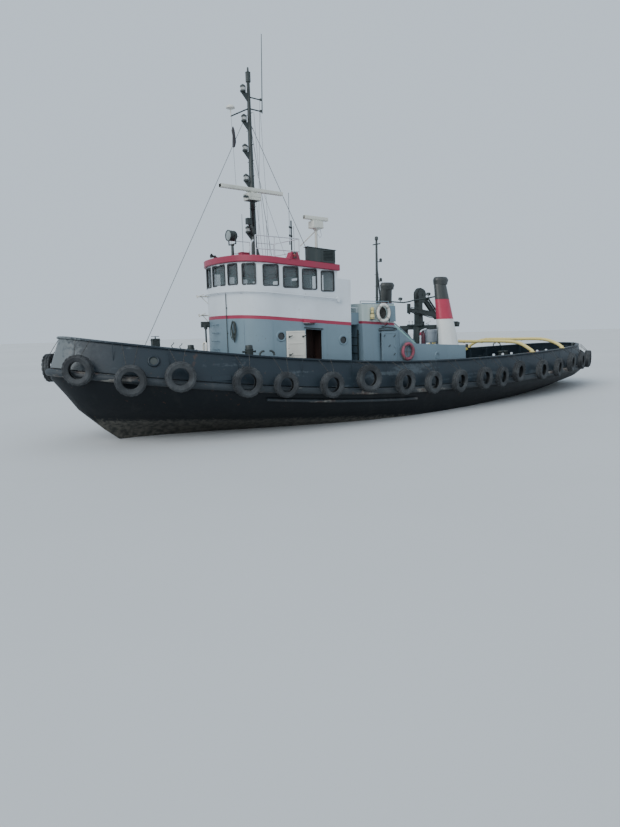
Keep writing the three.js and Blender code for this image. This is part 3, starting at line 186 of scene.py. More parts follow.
def settle(name, bm, finishes, body, smooth=32.0, bevel=0.0, stands_for=(), mend=False):
    if mend:
        bmesh.ops.recalc_face_normals(bm, faces=bm.faces)
    bm.normal_update()
    for edge in bm.edges:
        edge.smooth = len(edge.link_faces) == 2 and edge.calc_face_angle(9.0) < math.radians(smooth)
    for face in bm.faces:
        face.smooth = True
    mesh = bpy.data.meshes.new(name)
    bm.to_mesh(mesh)
    bm.free()
    piece = bpy.data.objects.new(name, mesh)
    bpy.context.scene.collection.objects.link(piece)
    for finish in finishes if isinstance(finishes, (list, tuple)) else [finishes]:
        mesh.materials.append(finish.material)
    if bevel:
        round_off = piece.modifiers.new("rounded_edges", "BEVEL")
        round_off.width, round_off.segments, round_off.limit_method = bevel, 2, "ANGLE"
        round_off.angle_limit, round_off.use_clamp_overlap = math.radians(35), True
    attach(piece, body)
    if stands_for:
        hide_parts(*stands_for)
    return piece


# A plate or casting whose form is already right in the solids: its facets are merged, its edges
# rounded and its finish put on.
def plated(node, finishes, bevel=0.006, smooth=32.0, paint_face=None, flat=0.6):
    bm = bmesh.new()
    bm.from_mesh(frame["nodes"][node].data)
    bmesh.ops.remove_doubles(bm, verts=bm.verts, dist=2e-5)
    if flat:
        bmesh.ops.dissolve_limit(bm, angle_limit=math.radians(flat), verts=bm.verts, edges=bm.edges)
    for face in bm.faces:
        face.material_index = paint_face(face) if paint_face else 0
    return settle(node + "_plating", bm, finishes, body_with[node], smooth, bevel, (node,))


# The studio: a plain pale floor at the waterline, and soft light from an even sky with two broad lamps.
floor_bm = bmesh.new()
bmesh.ops.create_circle(floor_bm, cap_ends=True, segments=64, radius=420)
floor_mesh = bpy.data.meshes.new("floor")
floor_bm.to_mesh(floor_mesh)
floor_bm.free()
floor = bpy.data.objects.new("floor", floor_mesh)
bpy.context.scene.collection.objects.link(floor)
pale = mottled("pale_floor", 0.75, 0.05, (0.52, 0.54, 0.55), (0.56, 0.58, 0.59), (0.3, 0.7))
floor_mesh.materials.append(pale.material)
sky = bpy.data.worlds.new("overcast")
sky.use_nodes = True
sky.node_tree.nodes["Background"].inputs[0].default_value = (0.71, 0.83, 0.95, 1.0)
sky.node_tree.nodes["Background"].inputs[1].default_value = 0.95
bpy.context.scene.world = sky
for name, power, angle, toward in [("high_softbox", 2.3, 50, (-0.92, -0.2, -0.62)),
                                   ("low_fill", 0.3, 70, (-0.2, -0.9, -0.35))]:
    lamp = bpy.data.lights.new(name, "SUN")
    lamp.energy, lamp.angle = power, math.radians(angle)
    lamp.color = (1.0, 0.985, 0.96)
    sun = bpy.data.objects.new(name, lamp)
    sun.rotation_euler = Vector(toward).to_track_quat("-Z", "Y").to_euler()
    bpy.context.scene.collection.objects.link(sun)

# Hull: welded steel plate, painted near black, with weed that dries in a band at the waterline.
# The deck is part of the same shell and wears a grey paint of its own.
topside = (0.004, 0.0065, 0.009)
hull_paint = ship_paint("hull_plate", topside, 0.25, 0.4, 0.55, 0.5, (0.03, 0.032, 0.03))
hull_paint.shader.inputs["Specular IOR Level"].default_value = 0.22
band_top = (hull_paint.x - 2.5) * 0.062 + (hull_paint.specks - 0.5) * 0.5
weed = hull_paint.mix(hull_paint.noise(6.0, 8.0).soft(0.35, 0.65), (0.03, 0.032, 0.03),
                      (0.085, 0.082, 0.072))
growth = (band_top - hull_paint.z).soft(-0.04, 0.08)
hull_paint.feed("Base Color", hull_paint.mix(growth, hull_paint.colour, weed))
deck_paint = ship_paint("deck_paint", (0.115, 0.125, 0.118), 0.5, 0.6, 0.8, 0.2)
plated("hull", [hull_paint, deck_paint], 0.0, 40,
       lambda face: 1 if face.normal.z > 0.94 and face.calc_center_median().z > 1.0 else 0)

# Bulwark: steel plate that leans in from the deck edge under a flat cap rail, with welded seams
# outside and a row of bracket plates welded behind it to the deck.
SHEER_BOW, SHEER_STERN, DECK_MID = 1.33, 0.25, 1.15
BOW_X, STERN_X, HALF_BEAM = 15.86, -14.45, 4.0


def deck_height(x):
    reach = x / BOW_X if x > 0 else x / STERN_X
    return DECK_MID + (SHEER_BOW if x > 0 else SHEER_STERN) * reach * reach


def half_breadth(x):
    if x > 3.0:
        return HALF_BEAM * max(0.0, 1 - ((x - 3.0) / (BOW_X - 3.0)) ** 2) ** 0.51
    if x < 0.0:
        return HALF_BEAM * max(0.0, 1 - (x / STERN_X) ** 2) ** 0.43
    return HALF_BEAM


def at(x, y, z):
    """A spot."""
    return Vector((x, y, z))


def lift(z):
    """A step straight up."""
    return Vector((0, 0, z))


def edge_spot(x, side=1):
    """A point of the deck edge and its outward direction."""
    slope = (half_breadth(x + 0.02) - half_breadth(x - 0.02)) / 0.04
    outward = at(-slope, side, 0).normalized()
    return at(x, half_breadth(x) * side, deck_height(x)), outward


bulwark_blue = (0.011, 0.021, 0.030)
bulwark_paint = ship_paint("bulwark_plate", bulwark_blue, 0.3, 0.3, 0.5, 0.5, (0.02, 0.025, 0.03))
bulwark_paint.shader.inputs["Specular IOR Level"].default_value = 0.35
scuffs = (bulwark_paint.noise(1.2, 6.0, (0.35, 0.35, 3.0)) + bulwark_paint.specks * 0.3).soft(0.72, 0.86)
stem_wear = (bulwark_paint.x + bulwark_paint.specks * 1.2).soft(15.7, 16.2)
worn = bulwark_paint.mix(scuffs * 0.35, bulwark_paint.colour, (0.12, 0.15, 0.17))
bulwark_paint.feed("Base Color", bulwark_paint.mix(stem_wear * 0.6, worn, (0.17, 0.19, 0.195)))
plated("bulwark", bulwark_paint, 0.012, 40)

seams = bmesh.new()


def cube(bm, centre, size, turn=None):
    place = Matrix.Translation(centre) @ (turn.to_4x4() if turn else Matrix()) @ Matrix.Diagonal((*size,
            1.0))
    return bmesh.ops.create_cube(bm, size=1.0, matrix=place)["verts"]


def facing(outward, upward=lift(1)):
    """Axes for a fitting on a wall: x along the wall, y out of it, z up."""
    y = Vector(outward).normalized()
    x = y.cross(upward).normalized()
    return Matrix((x, y, x.cross(y))).transposed()


for side in (1, -1):
    for x in [14.6, 13.1, 11.0, 8.75, 6.75, 5.1, 2.2, -1.0, -3.9, -6.1, -8.0, -9.9, -11.6, -13.1]:
        foot, outward = edge_spot(x, side)
        top = foot - outward * 0.32 + lift(0.9)
        lean_up = (top - foot).normalized()
        cube(seams, (foot + top) / 2 + outward * 0.002, (0.022, 0.012, 0.9), facing(outward, lean_up))
settle("bulwark_seams", seams, bulwark_paint, "ship", bevel=0.003)

stays = bmesh.new()
for side in (1, -1):
    for i in range(23):
        x = 14.3 - i * 1.22
        foot, outward = edge_spot(x, side)
        turn = facing(outward)
        low = foot - outward * 0.16 + lift(0.02)
        high = foot - outward * 0.43 + lift(0.86)
        plate = [stays.verts.new(p) for p in (low - outward * 0.03, low - outward * 0.5,
                                              high - outward * 0.09, high)]
        face = stays.faces.new(plate)
        grown = bmesh.ops.extrude_face_region(stays, geom=[face])["geom"]
        bmesh.ops.translate(stays, verts=[v for v in grown if isinstance(v, bmesh.types.BMVert)],
                            vec=turn.col[0] * 0.014)
settle("bulwark_stays", stays, bulwark_paint, "ship", mend=True)


# Rubbing strake: a heavy round steel belt welded along the deck edge, with a thinner one under its
# forward half. Its paint is rubbed down to rust and pale primer.
def bent_bar(bm, points, radius, sides=8, closed=False):
    """A round bar along points, joined to bm."""
    curve = bpy.data.curves.new("bar", "CURVE")
    curve.dimensions, curve.bevel_depth, curve.bevel_resolution = "3D", radius, max(0, sides // 2 - 2)
    curve.use_fill_caps = not closed
    spline = curve.splines.new("POLY")
    spline.points.add(len(points) - 1)
    for spot, p in zip(spline.points, points):
        spot.co = (*p, 1.0)
    spline.use_cyclic_u = closed
    holder = bpy.data.objects.new("bar", curve)
    bpy.context.scene.collection.objects.link(holder)
    bar_mesh = bpy.data.meshes.new_from_object(holder.evaluated_get(bpy.context.evaluated_depsgraph_get()))
    bm.from_mesh(bar_mesh)
    bpy.data.objects.remove(holder)
    bpy.data.curves.remove(curve)
    bpy.data.meshes.remove(bar_mesh)


belt_paint = ship_paint("strake_steel", (0.014, 0.021, 0.027), 0.3, 0.5, 0.6, 0.3)
scraped = (belt_paint.noise(1.1, 6.0, (0.6, 0.6, 4.0)) + belt_paint.specks * 0.25).soft(0.66, 0.78)
bare = belt_paint.mix(belt_paint.noise(3.0).soft(0.4, 0.6), (0.10, 0.06, 0.045), (0.27, 0.26, 0.23))
belt_paint.feed("Base Color", belt_paint.mix(scraped * 0.6, belt_paint.colour, bare))
strake = bmesh.new()
around = []
for i in range(64):
    a = math.pi * i / 64
    x = 3.0 + (BOW_X - 3.0) * math.cos(a) if a < math.pi / 2 else STERN_X * math.sin(a - math.pi / 2)
    around.append(x)
around.append(STERN_X)
ring = [(x, 1) for x in around] + [(x, -1) for x in around[-2:0:-1]]
path = []
for x, side in ring:
    spot, outward = edge_spot(min(max(x, STERN_X + 0.0005), BOW_X - 0.0005), side)
    if x >= BOW_X - 0.001:
        spot, outward = at(BOW_X, 0, deck_height(BOW_X)), at(1, 0, 0)
    if x <= STERN_X + 0.001:
        spot, outward = at(STERN_X, 0, deck_height(STERN_X)), at(-1, 0, 0)
    path.append(spot + outward * 0.03 - lift(0.14))
bent_bar(strake, path, 0.118, 12, True)
lower = [p - lift(0.34) - at(0.0, math.copysign(0.04, p.y) if abs(p.y) > 0.3 else 0.0, 0) for p in path
         if 2.0 < p.x < 10.5 and p.y > 0]
bent_bar(strake, lower, 0.05, 8)
bent_bar(strake, [at(p.x, -p.y, p.z) for p in lower], 0.05, 8)
settle("rubbing_strake", strake, belt_paint, "ship", 60)

# Fender tyres: worn truck tyres of black rubber, hung flat against the strake all round the hull and
# each tied to the bulwark by two short ropes. One tyre with a blocky tread is copied to every place.
rubber = Finish("worn_tyre_rubber", 0.85)
dust = rubber.noise(2.2, 6.0)
grain = rubber.noise(26.0, 5.0)
rubber_tone = rubber.mix(dust.soft(0.35, 0.7), (0.014, 0.017, 0.02), (0.045, 0.051, 0.056))
rubber.feed("Base Color", rubber.mix((grain + dust * 0.4).soft(0.78, 0.95) * 0.5, rubber_tone,
                                     (0.11, 0.11, 0.10)))
rubber.feed("Roughness", 0.75 + (grain - 0.5) * 0.3)
rubber.bump(grain * 0.6 + rubber.noise(7.0) * 0.4, 0.4, 0.012)

tyre_section = [(0.262, 0.080), (0.285, 0.105), (0.310, 0.108), (0.345, 0.124), (0.385, 0.131),
                (0.392, 0.135), (0.402, 0.131), (0.430, 0.124), (0.455, 0.112), (0.462, 0.092),
                (0.462, 0.060), (0.450, 0.054), (0.450, 0.040), (0.462, 0.034), (0.462, -0.034),
                (0.450, -0.040), (0.450, -0.054), (0.462, -0.060), (0.462, -0.092), (0.455, -0.112),
                (0.430, -0.124), (0.402, -0.131), (0.392, -0.135), (0.385, -0.131), (0.345, -0.124),
                (0.310, -0.108), (0.285, -0.105), (0.262, -0.080), (0.285, -0.070), (0.330, -0.100),
                (0.420, -0.098), (0.442, 0.0), (0.420, 0.098), (0.330, 0.100), (0.285, 0.070)]
STEPS = 36
tyre_bm = bmesh.new()
loop = [tyre_bm.verts.new((r, 0, w)) for r, w in tyre_section]
edges = [tyre_bm.edges.new((a, b)) for a, b in zip(loop, loop[1:] + loop[:1])]
bmesh.ops.spin(tyre_bm, geom=edges, cent=(0, 0, 0), axis=(0, 0, 1), angle=2 * math.pi, steps=STEPS,
               use_merge=True)
bmesh.ops.remove_doubles(tyre_bm, verts=tyre_bm.verts, dist=1e-4)
bmesh.ops.recalc_face_normals(tyre_bm, faces=tyre_bm.faces)
tread = []
for face in tyre_bm.faces:
    middle = face.calc_center_median()
    step = int((math.atan2(middle.y, middle.x) % (2 * math.pi)) / (2 * math.pi) * STEPS)
    band = 0 if abs(middle.z) < 0.03 else 1
    shoulder = 0.09 < abs(middle.z) < 0.125
    if math.hypot(middle.x, middle.y) > 0.455 and (step + band) % 2 == 0 or shoulder and step % 2 and \
            math.hypot(middle.x, middle.y) > 0.44:
        tread.append(face)
lifted = bmesh.ops.extrude_discrete_faces(tyre_bm, faces=tread)["faces"]
for face in lifted:
    bmesh.ops.translate(tyre_bm, verts=face.verts, vec=face.normal * 0.013)
tyre_mesh = bpy.data.meshes.new("tyre")
tyre_bm.to_mesh(tyre_mesh)
tyre_bm.free()

# X, height of the centre, size, tilt in degrees; the same along port and starboard
TYRES = [(15.32, 2.42, 0.97, 4), (14.15, 2.07, 1.0, 3), (12.85, 2.12, 1.0, -2), (10.87, 1.85, 1.04, 5),
         (9.57, 1.68, 0.9, 2), (7.84, 1.57, 0.95, 3), (6.26, 1.69, 1.02, -4), (4.51, 1.44, 1.0, 6),
         (2.95, 1.32, 0.93, 4), (1.32, 1.26, 0.97, 8), (-0.34, 1.27, 0.97, 3), (-1.62, 1.24, 0.9, 6),
         (-2.98, 1.38, 1.0, 8), (-5.14, 1.33, 0.97, 2), (-6.93, 1.34, 0.94, 7), (-8.67, 1.48, 0.98, 5),
         (-10.4, 1.48, 0.95, 2), (-11.9, 1.48, 0.98, 4), (-13.15, 1.45, 0.96, 3)]
tyres, ropes = bmesh.new(), bmesh.new()
for side in (1, -1):
    for x, height, size, tilt in TYRES:
        spot, outward = edge_spot(x, side)
        centre = at(spot.x, spot.y, height) + outward * 0.235
        turn = facing(outward) @ Matrix.Rotation(math.radians(tilt), 3, "Z") @ Matrix.Rotation(
            math.radians(-90 - tilt * 0.6), 3, "X") @ Matrix.Rotation(chance.uniform(0, 6.28), 3, "Z")
        one = tyre_mesh.copy()
        one.transform(Matrix.Translation(centre) @ (turn * size).to_4x4())
        tyres.from_mesh(one)
        bpy.data.meshes.remove(one)
        along = facing(outward).col[0]
        rail = spot - outward * 0.2 + lift(0.92)
        for reach in (-0.16, 0.16):
            low = centre + along * reach * 0.7 + lift(0.37 * size)
            hook = rail + along * reach * 1.5
            over_top = centre + along * reach * 0.7 + lift(0.475 * size) - outward * 0.06
            bent_bar(ropes, [low - outward * 0.12, low + lift(0.02), over_top, hook], 0.009, 6)
for y in (0.7, -0.7):
    one = tyre_mesh.copy()
    one.transform(Matrix.Translation((STERN_X - 0.16, y, deck_height(STERN_X) + 0.04)) @ Matrix.Rotation(
        math.radians(90), 4, "Y"))
    tyres.from_mesh(one)
    bpy.data.meshes.remove(one)
settle("fender_tyres", tyres, rubber, "ship", 28, stands_for=("rubbing_strake_and_tyres",))
rope = mottled("tarred_rope", 0.9, 14.0, (0.02, 0.02, 0.02), (0.055, 0.052, 0.048), (0.4, 0.6))
rope.bump(rope.noise(60.0), 0.5, 0.004)
settle("tyre_ropes", ropes, rope, "ship", 60)

# House: two tiers of flush welded plate round one plan, grey below and white above a crimson line,
# under a crimson roof. The lines of its floors and windows fall aft with the sheer.
SLOPE, MID_X = 0.083, 7.5
FRONT_X, FRONT_R, FRONT_HALF, CORNER_R, TAPER = 9.8, 4.0, 0.9, 1.3, math.radians(12)


def wall_spot(distance, height=0.0, proud=0.0, side=1):
    """A point on the house wall, measured round from the middle of the front, and its outward direction."""
    start = math.asin(FRONT_HALF / FRONT_R)
    reach, centre = FRONT_R - CORNER_R, FRONT_X - FRONT_R
    length = abs(distance)
    if length < FRONT_R * start:
        a = length / FRONT_R
        x, y = centre + FRONT_R * math.cos(a), FRONT_R * math.sin(a)
    else:
        a = min(start + (length - FRONT_R * start) / CORNER_R, math.pi / 2 - TAPER)
        past = max(0.0, length - FRONT_R * start - CORNER_R * (math.pi / 2 - TAPER - start))
        x = centre + reach * math.cos(start) + CORNER_R * math.cos(a) - past * math.cos(TAPER)
        y = reach * math.sin(start) + CORNER_R * math.sin(a) + past * math.sin(TAPER)
    turn = side * (-1 if distance < 0 else 1)
    outward = at(math.cos(a), turn * math.sin(a), 0)
    spot = at(x, turn * y, 0) + outward * proud
    spot.z = height + SLOPE * (spot.x - MID_X)
    return spot, outward


house_grey, house_white, ship_red = (0.155, 0.225, 0.272), (0.59, 0.645, 0.69), (0.27, 0.021, 0.054)
grey_paint = ship_paint("house_grey", house_grey, 0.16, 0.3, 0.45, 0.35, (0.12, 0.15, 0.165))
plated("deckhouse", grey_paint, 0.01, 28)
white_paint = ship_paint("house_white", house_white, 0.14, 0.3, 0.42, 0.3, (0.33, 0.33, 0.32))
rise = white_paint.z - (white_paint.x - MID_X) * SLOPE
stripe = rise.under(3.84) * (white_paint.specks * 0.02 + rise).over(3.7)
white_paint.feed("Base Color", white_paint.mix(stripe, white_paint.colour, white_paint.mix(
    white_paint.clouds.soft(0.3, 0.7), ship_red, tinted(ship_red, 1.25))))
plated("wheelhouse", white_paint, 0.008, 28)
red_paint = ship_paint("fascia_red", ship_red, 0.2, 0.3, 0.4, 0.3)
plated("wheelhouse_roof", red_paint, 0.03, 28)

# Windows: toughened panes set in black rubber with rounded corners, thirteen round the front and
# sides of the wheelhouse and two in its after wall.
gasket = mottled("window_rubber", 0.6, 8.0, (0.012, 0.014, 0.016), (0.03, 0.034, 0.036), (0.4, 0.6))
gasket.bump(gasket.noise(40.0), 0.2, 0.003)
WINDOWS = [(-0.42, 0.42), (0.59, 1.05), (1.26, 1.74), (2.01, 2.56), (2.76, 3.33), (3.51, 4.07),
           (4.27, 4.79)]
SILL, HEAD = 4.91, 5.615


def window_ring(bm, centre, turn, wide, tall, border, thick, corner, steps=4):
    """A rounded rectangular ring, flat to the wall."""
    def outline(w, h, r):
        spots = []
        for qx, qz, start in ((1, 1, 0), (-1, 1, 90), (-1, -1, 180), (1, -1, 270)):
            for k in range(steps + 1):
                a = math.radians(start + 90 * k / steps)
                spots.append(at(qx * (w / 2 - r) + r * math.cos(a), 0, qz * (h / 2 - r) + r * math.sin(a)))
        return spots
    rings = []
    for w, h, r, y in ((wide, tall, corner, 0), (wide, tall, corner, thick),
                       (wide - 2 * border, tall - 2 * border, max(corner - border, 0.02), thick),
                       (wide - 2 * border, tall - 2 * border, max(corner - border, 0.02), -0.03)):
        spots = outline(w, h, r)
        rings.append([bm.verts.new(centre + turn @ (p + at(0, y, 0))) for p in spots])
    for first, second in zip(rings, rings[1:]):
        for a, b, c, d in zip(first, first[1:] + first[:1], second[1:] + second[:1], second):
            bm.faces.new((a, b, c, d))


frames = bmesh.new()
for side in (1, -1):
    for start, end in WINDOWS:
        if start < 0 and side < 0:
            continue
        a, _ = wall_spot(start, 0, 0, side)
        b, _ = wall_spot(end, 0, 0, side)
        middle = (a + b) / 2
        outward = at((b - a).y, -(b - a).x, 0).normalized()
        if outward.dot(at(middle.x - 6.5, middle.y, 0)) < 0:
            outward = -outward
        centre = at(middle.x, middle.y, (SILL + HEAD) / 2 + SLOPE * (middle.x - MID_X)) - outward * 0.004
        window_ring(frames, centre, facing(outward), (b - a).length + 0.05, HEAD - SILL + 0.05, 0.045,
                    0.022, 0.07)
for y in (1.3, -1.3):
    centre = at(6.19, y, (SILL + HEAD) / 2 + SLOPE * (6.2 - MID_X))
    window_ring(frames, centre, facing(at(-1, 0, 0)), 0.85, HEAD - SILL + 0.05, 0.045, 0.022, 0.07)
settle("window_gaskets", frames, gasket, "ship", 35, mend=True)
pane = Finish("window_pane", 0.06, 0.0, Transmission_Weight=0.0, IOR=1.5)
pane.feed("Base Color", (0.14, 0.185, 0.195, 1.0))
smear = pane.noise(3.0, 5.0)
pane.feed("Alpha", 0.26 + smear * 0.08)
pane.feed("Roughness", 0.04 + smear * 0.06)
plated("window_glass", pane, 0.0, 28, flat=0.0)

# Portholes: heavy cast rings, each held to the plate by eight bolts, with a second thin ring that
# holds the dark fixed glass.
def hoop(bm, centre, turn, radius, thick, steps=28, sides=8, flat=1.0):
    """A ring whose axis is the y of turn."""
    place = Matrix.Translation(centre) @ turn.to_4x4()
    loop = [bm.verts.new(place @ Vector((radius + thick * math.cos(2 * math.pi * k / sides),
                                         thick * flat * math.sin(2 * math.pi * k / sides), 0)))
            for k in range(sides)]
    edges = [bm.edges.new((a, b)) for a, b in zip(loop, loop[1:] + loop[:1])]
    bmesh.ops.spin(bm, geom=edges, cent=centre, axis=turn.col[1], angle=2 * math.pi, steps=steps,
                   use_merge=True)


def drum(bm, centre, turn, radius, depth, top=None, sides=24):
    """A round plug along the y of turn, from its middle."""
    place = Matrix.Translation(centre) @ turn.to_4x4() @ Matrix.Rotation(math.radians(-90), 4, "X")
    return bmesh.ops.create_cone(bm, cap_ends=True, segments=sides, radius1=radius, depth=depth,
                                 radius2=radius if top is None else top, matrix=place)["verts"]


dark_glass = mottled("porthole_glass", 0.08, 5.0, (0.012, 0.016, 0.018), (0.03, 0.036, 0.04))
dark_glass.feed("Roughness", 0.06 + dark_glass.noise(9.0) * 0.12)
rims, port_glass, bolts = bmesh.new(), bmesh.new(), bmesh.new()
PORTS = [(wall_spot(d, 3.16, 0.0, side), 0.15) for d in (2.60, 5.14) for side in (1, -1)]
PORTS += [((at(0.72, 2.567 * side, 2.23), at(0, side, 0.02)), 0.115) for side in (1, -1)]
for (spot, outward), radius in PORTS:
    turn = facing(outward)
    hoop(rims, spot + outward * 0.008, turn, radius + 0.018, 0.026, flat=0.8)
    hoop(rims, spot + outward * 0.02, turn, radius - 0.012, 0.009)
    drum(port_glass, spot - outward * 0.03, turn, radius, 0.02)
    for k in range(8):
        a = math.pi * (k + 0.5) / 4
        head = spot + outward * 0.028 + (turn.col[0] * math.cos(a) +
                                         turn.col[2] * math.sin(a)) * (radius + 0.02)
        drum(bolts, head, turn, 0.009, 0.014, sides=6)
settle("porthole_rims", rims, grey_paint, "ship", mend=True)
settle("porthole_bolts", bolts, grey_paint, "ship")
settle("porthole_glass", port_glass, dark_glass, "ship")

# House doors: steel leaves with rounded stiffened skins, hung on barrels, closed by dogs; each doorway has a
# raised coaming under a black head bar, and the open one shows the brown joinery of the lobby.
door_white = ship_paint("door_white", (0.63, 0.62, 0.56), 0.2, 0.35, 0.45, 0.2, (0.3, 0.27, 0.2))
black_paint = ship_paint("black_fittings", (0.022, 0.032, 0.032), 0.3, 0.35, 0.5, 0.3, (0.07, 0.075, 0.07))
for node in ("port_door", "starboard_door", "wheelhouse_door"):
    plated(node, door_white, 0.012, 32)
for node, side, opened in (("port_door", 1, True), ("starboard_door", -1, False)):
    skin, gear = bmesh.new(), bmesh.new()
    spot, outward = wall_spot(3.535, 0.0, 0.045, side)
    along = at(-outward.y, outward.x, 0) * side * (-1 if opened else 1)
    low, high = 1.68 + SLOPE * (spot.x - MID_X), 3.41 + SLOPE * (spot.x - MID_X)
    middle = spot + along * 0.3775 + lift((low + high) / 2)
    inner = outward if opened else -outward
    turn = facing(inner)
    window_ring(skin, middle + inner * 0.022, turn, 0.66, high - low - 0.08, 0.02, 0.012, 0.05)
    for k in (-0.42, 0.0, 0.42):
        cube(skin, middle + inner * 0.024 + lift(k), (0.6, 0.016, 0.05), turn)
    for reach, height in ((-0.27, 0.66), (0.27, 0.66), (-0.27, -0.62), (0.27, -0.62), (0.27, 0.02)):
        foot = middle + along * reach + lift(height)
        drum(gear, foot + inner * 0.04, turn, 0.026, 0.06, sides=12)
        cube(gear, foot + inner * 0.07 - along * 0.04, (0.16, 0.018, 0.03),
             turn @ Matrix.Rotation(0.5, 3, "Y"))
        drum(gear, foot - inner * 0.035, turn, 0.02, 0.04, sides=12)
    settle(node + "_stiffening", skin, door_white, node, bevel=0.004, mend=True)
    settle(node + "_dogs", gear, black_paint, node, bevel=0.003)
coaming = bmesh.new()
for side in (1, -1):
    for d in (3.567, 4.243):
        a, outward = wall_spot(d, 1.69, 0.004, side)
        b, _ = wall_spot(d, 3.5, 0.004, side)
        cube(coaming, (a + b) / 2, (0.03, 0.028, 1.81), facing(outward))
    for height in (3.49, 1.68):
        run = [wall_spot(3.55 + k * 0.71 / 5, height, 0.008, side)[0] for k in range(6)]
        bent_bar(coaming, run, 0.012, 8)
settle("doorway_coamings", coaming, grey_paint, "ship", bevel=0.003)
door_heads = bmesh.new()
for side in (1, -1):
    bent_bar(door_heads, [wall_spot(3.52 + k * 0.77 / 7, 3.515, 0.03, side)[0] for k in range(8)], 0.02, 8)
settle("doorway_heads", door_heads, black_paint, "ship")
joinery = Finish("lobby_joinery", 0.5)
grain_lines = joinery.noise(3.0, 6.0, (1.0, 1.0, 0.12))
joinery.feed("Base Color", joinery.mix(grain_lines.soft(0.35, 0.65), (0.02, 0.013, 0.012),
                                       (0.055, 0.03, 0.024)))
joinery.feed("Roughness", 0.35 + grain_lines * 0.3)
lobby = bmesh.new()
for side in (1, -1):
    cube(lobby, (7.35, 1.62 * side, 2.52), (1.5, 0.03, 1.95))
    for x in (6.9, 7.3, 7.7):
        cube(lobby, (x, 1.64 * side, 2.52), (0.03, 0.02, 1.9))
    cube(lobby, (6.75, 1.95 * side, 2.5), (0.03, 0.66, 1.9))
settle("lobby_lining", lobby, joinery, "ship", bevel=0.003)

# Handrail: a painted steel pipe that follows the house front on nine welded brackets, between two
# oval end plates.
fittings = bmesh.new()
spots = [wall_spot(-4.9 + k * 9.8 / 60, 4.65, 0.085)[0] for k in range(61)]
bent_bar(fittings, spots, 0.021, 10)
for k in range(9):
    d = -4.72 + k * 1.18
    spot, outward = wall_spot(d, 4.65, 0.0)
    bent_bar(fittings, [spot - lift(0.05), spot + outward * 0.06 - lift(0.045),
                        spot + outward * 0.085], 0.011, 6)
for d in (-4.93, 4.93):
    spot, outward = wall_spot(d, 4.64, 0.05)
    plate = drum(fittings, spot, facing(outward), 0.065, 0.1, sides=20)
    bmesh.ops.scale(fittings, vec=(1.0, 1.0, 1.7), verts=plate, space=Matrix.Translation(-spot))
settle("house_handrail", fittings, white_paint, "ship")

# Front of the house: steel climbing rungs, a black cable in clips, a hose coiled on its hook and two
# white lamp arms, all fixed to the plate. On the foredeck stand a dark lamp post and a swan-neck vent.
front = bmesh.new()
for k in range(4):
    height = 2.62 + k * 0.30
    for d in (-0.52, -0.12):
        spot, outward = wall_spot(d, height, 0.0)
        bent_bar(front, [spot - outward * 0.01, spot + outward * 0.1], 0.012, 6)
    bent_bar(front, [wall_spot(-0.52 + j * 0.1, height, 0.1)[0] for j in range(5)], 0.013, 8)
settle("front_rungs", front, grey_paint, "ship")
pipes, cable = bmesh.new(), bmesh.new()
bent_bar(cable, [wall_spot(0.44, h, 0.03)[0] for h in (4.62, 3.6, 2.6, 1.75)], 0.013, 8)
for height in (4.1, 3.2, 2.3):
    spot, outward = wall_spot(0.44, height, 0.012)
    cube(cable, spot, (0.07, 0.024, 0.03), facing(outward))
goose = at(11.4, 1.62, 0.0)
bent_bar(pipes, [goose + at(0.0, -0.09, z) for z in (deck_height(11.4) - 0.02, 3.02)] +
         [goose + at(0.0, -0.09 * math.cos(a), 3.02 + 0.09 * math.sin(a))
          for a in (0.5, 1.05, 1.57, 2.1, 2.65)] +
         [goose + at(0.0, 0.09, z) for z in (3.02, 2.82)], 0.032, 10)
for height, reach in ((4.6, 0.34), (3.9, 0.30)):
    root, outward = wall_spot(-1.05, height, 0.0)
    bent_bar(pipes, [root - outward * 0.01, root + outward * reach], 0.022, 8)
    bent_bar(pipes, [root + outward * 0.02 - lift(0.26), root + outward * reach * 0.8], 0.014, 8)
    tray = facing(outward) @ Matrix.Rotation(-0.35, 3, "X")
    cube(pipes, root + outward * (reach - 0.04) + lift(0.03), (0.15, 0.26, 0.03), tray)
    cube(pipes, root + outward * (reach + 0.07), (0.14, 0.035, 0.11), tray)
settle("front_pipes", pipes, door_white, "ship")
lamp_black = bmesh.new()
bent_bar(lamp_black, [(10.2, -0.38, deck_height(10.2) - 0.02), (10.2, -0.38, 3.58)], 0.035, 10)
drum(lamp_black, at(10.2, -0.38, 3.64), facing(lift(1), at(1, 0, 0)), 0.06, 0.16, 0.075)
root, outward = wall_spot(-1.12, 3.55, 0.16)
cube(lamp_black, root, (0.2, 0.3, 0.22), facing(outward))
hook, outward = wall_spot(0.83, 3.60, 0.0)
bent_bar(lamp_black, [hook, hook + outward * 0.09, hook + outward * 0.1 + lift(0.05)], 0.012, 6)
settle("front_lamps", lamp_black, black_paint, "ship", bevel=0.01)
hose = mottled("coiled_hose", 0.6, 9.0, (0.02, 0.032, 0.03), (0.05, 0.065, 0.06), (0.4, 0.6))
hose.bump(hose.noise(60.0), 0.3, 0.003)
settle("front_cable", cable, hose, "ship")
coil = bmesh.new()
turn = facing(outward)
for k in range(7):
    wide, tall = 0.07 + 0.022 * (k % 3), 0.25 + 0.04 * (k % 4)
    points = []
    for j in range(18):
        a = 2 * math.pi * j / 18
        sway = 0.032 * math.sin(2 * a + 1.9 * k)
        off = 0.055 + 0.02 * (k % 3) + 0.012 * math.sin(a + k)
        points.append(hook + outward * off - lift(tall - 0.02) +
                      turn.col[0] * (wide * math.sin(a) + sway) + lift(tall * math.cos(a)))
    bent_bar(coil, points, 0.012, 6, True)
settle("coiled_hose", coil, hose, "ship")

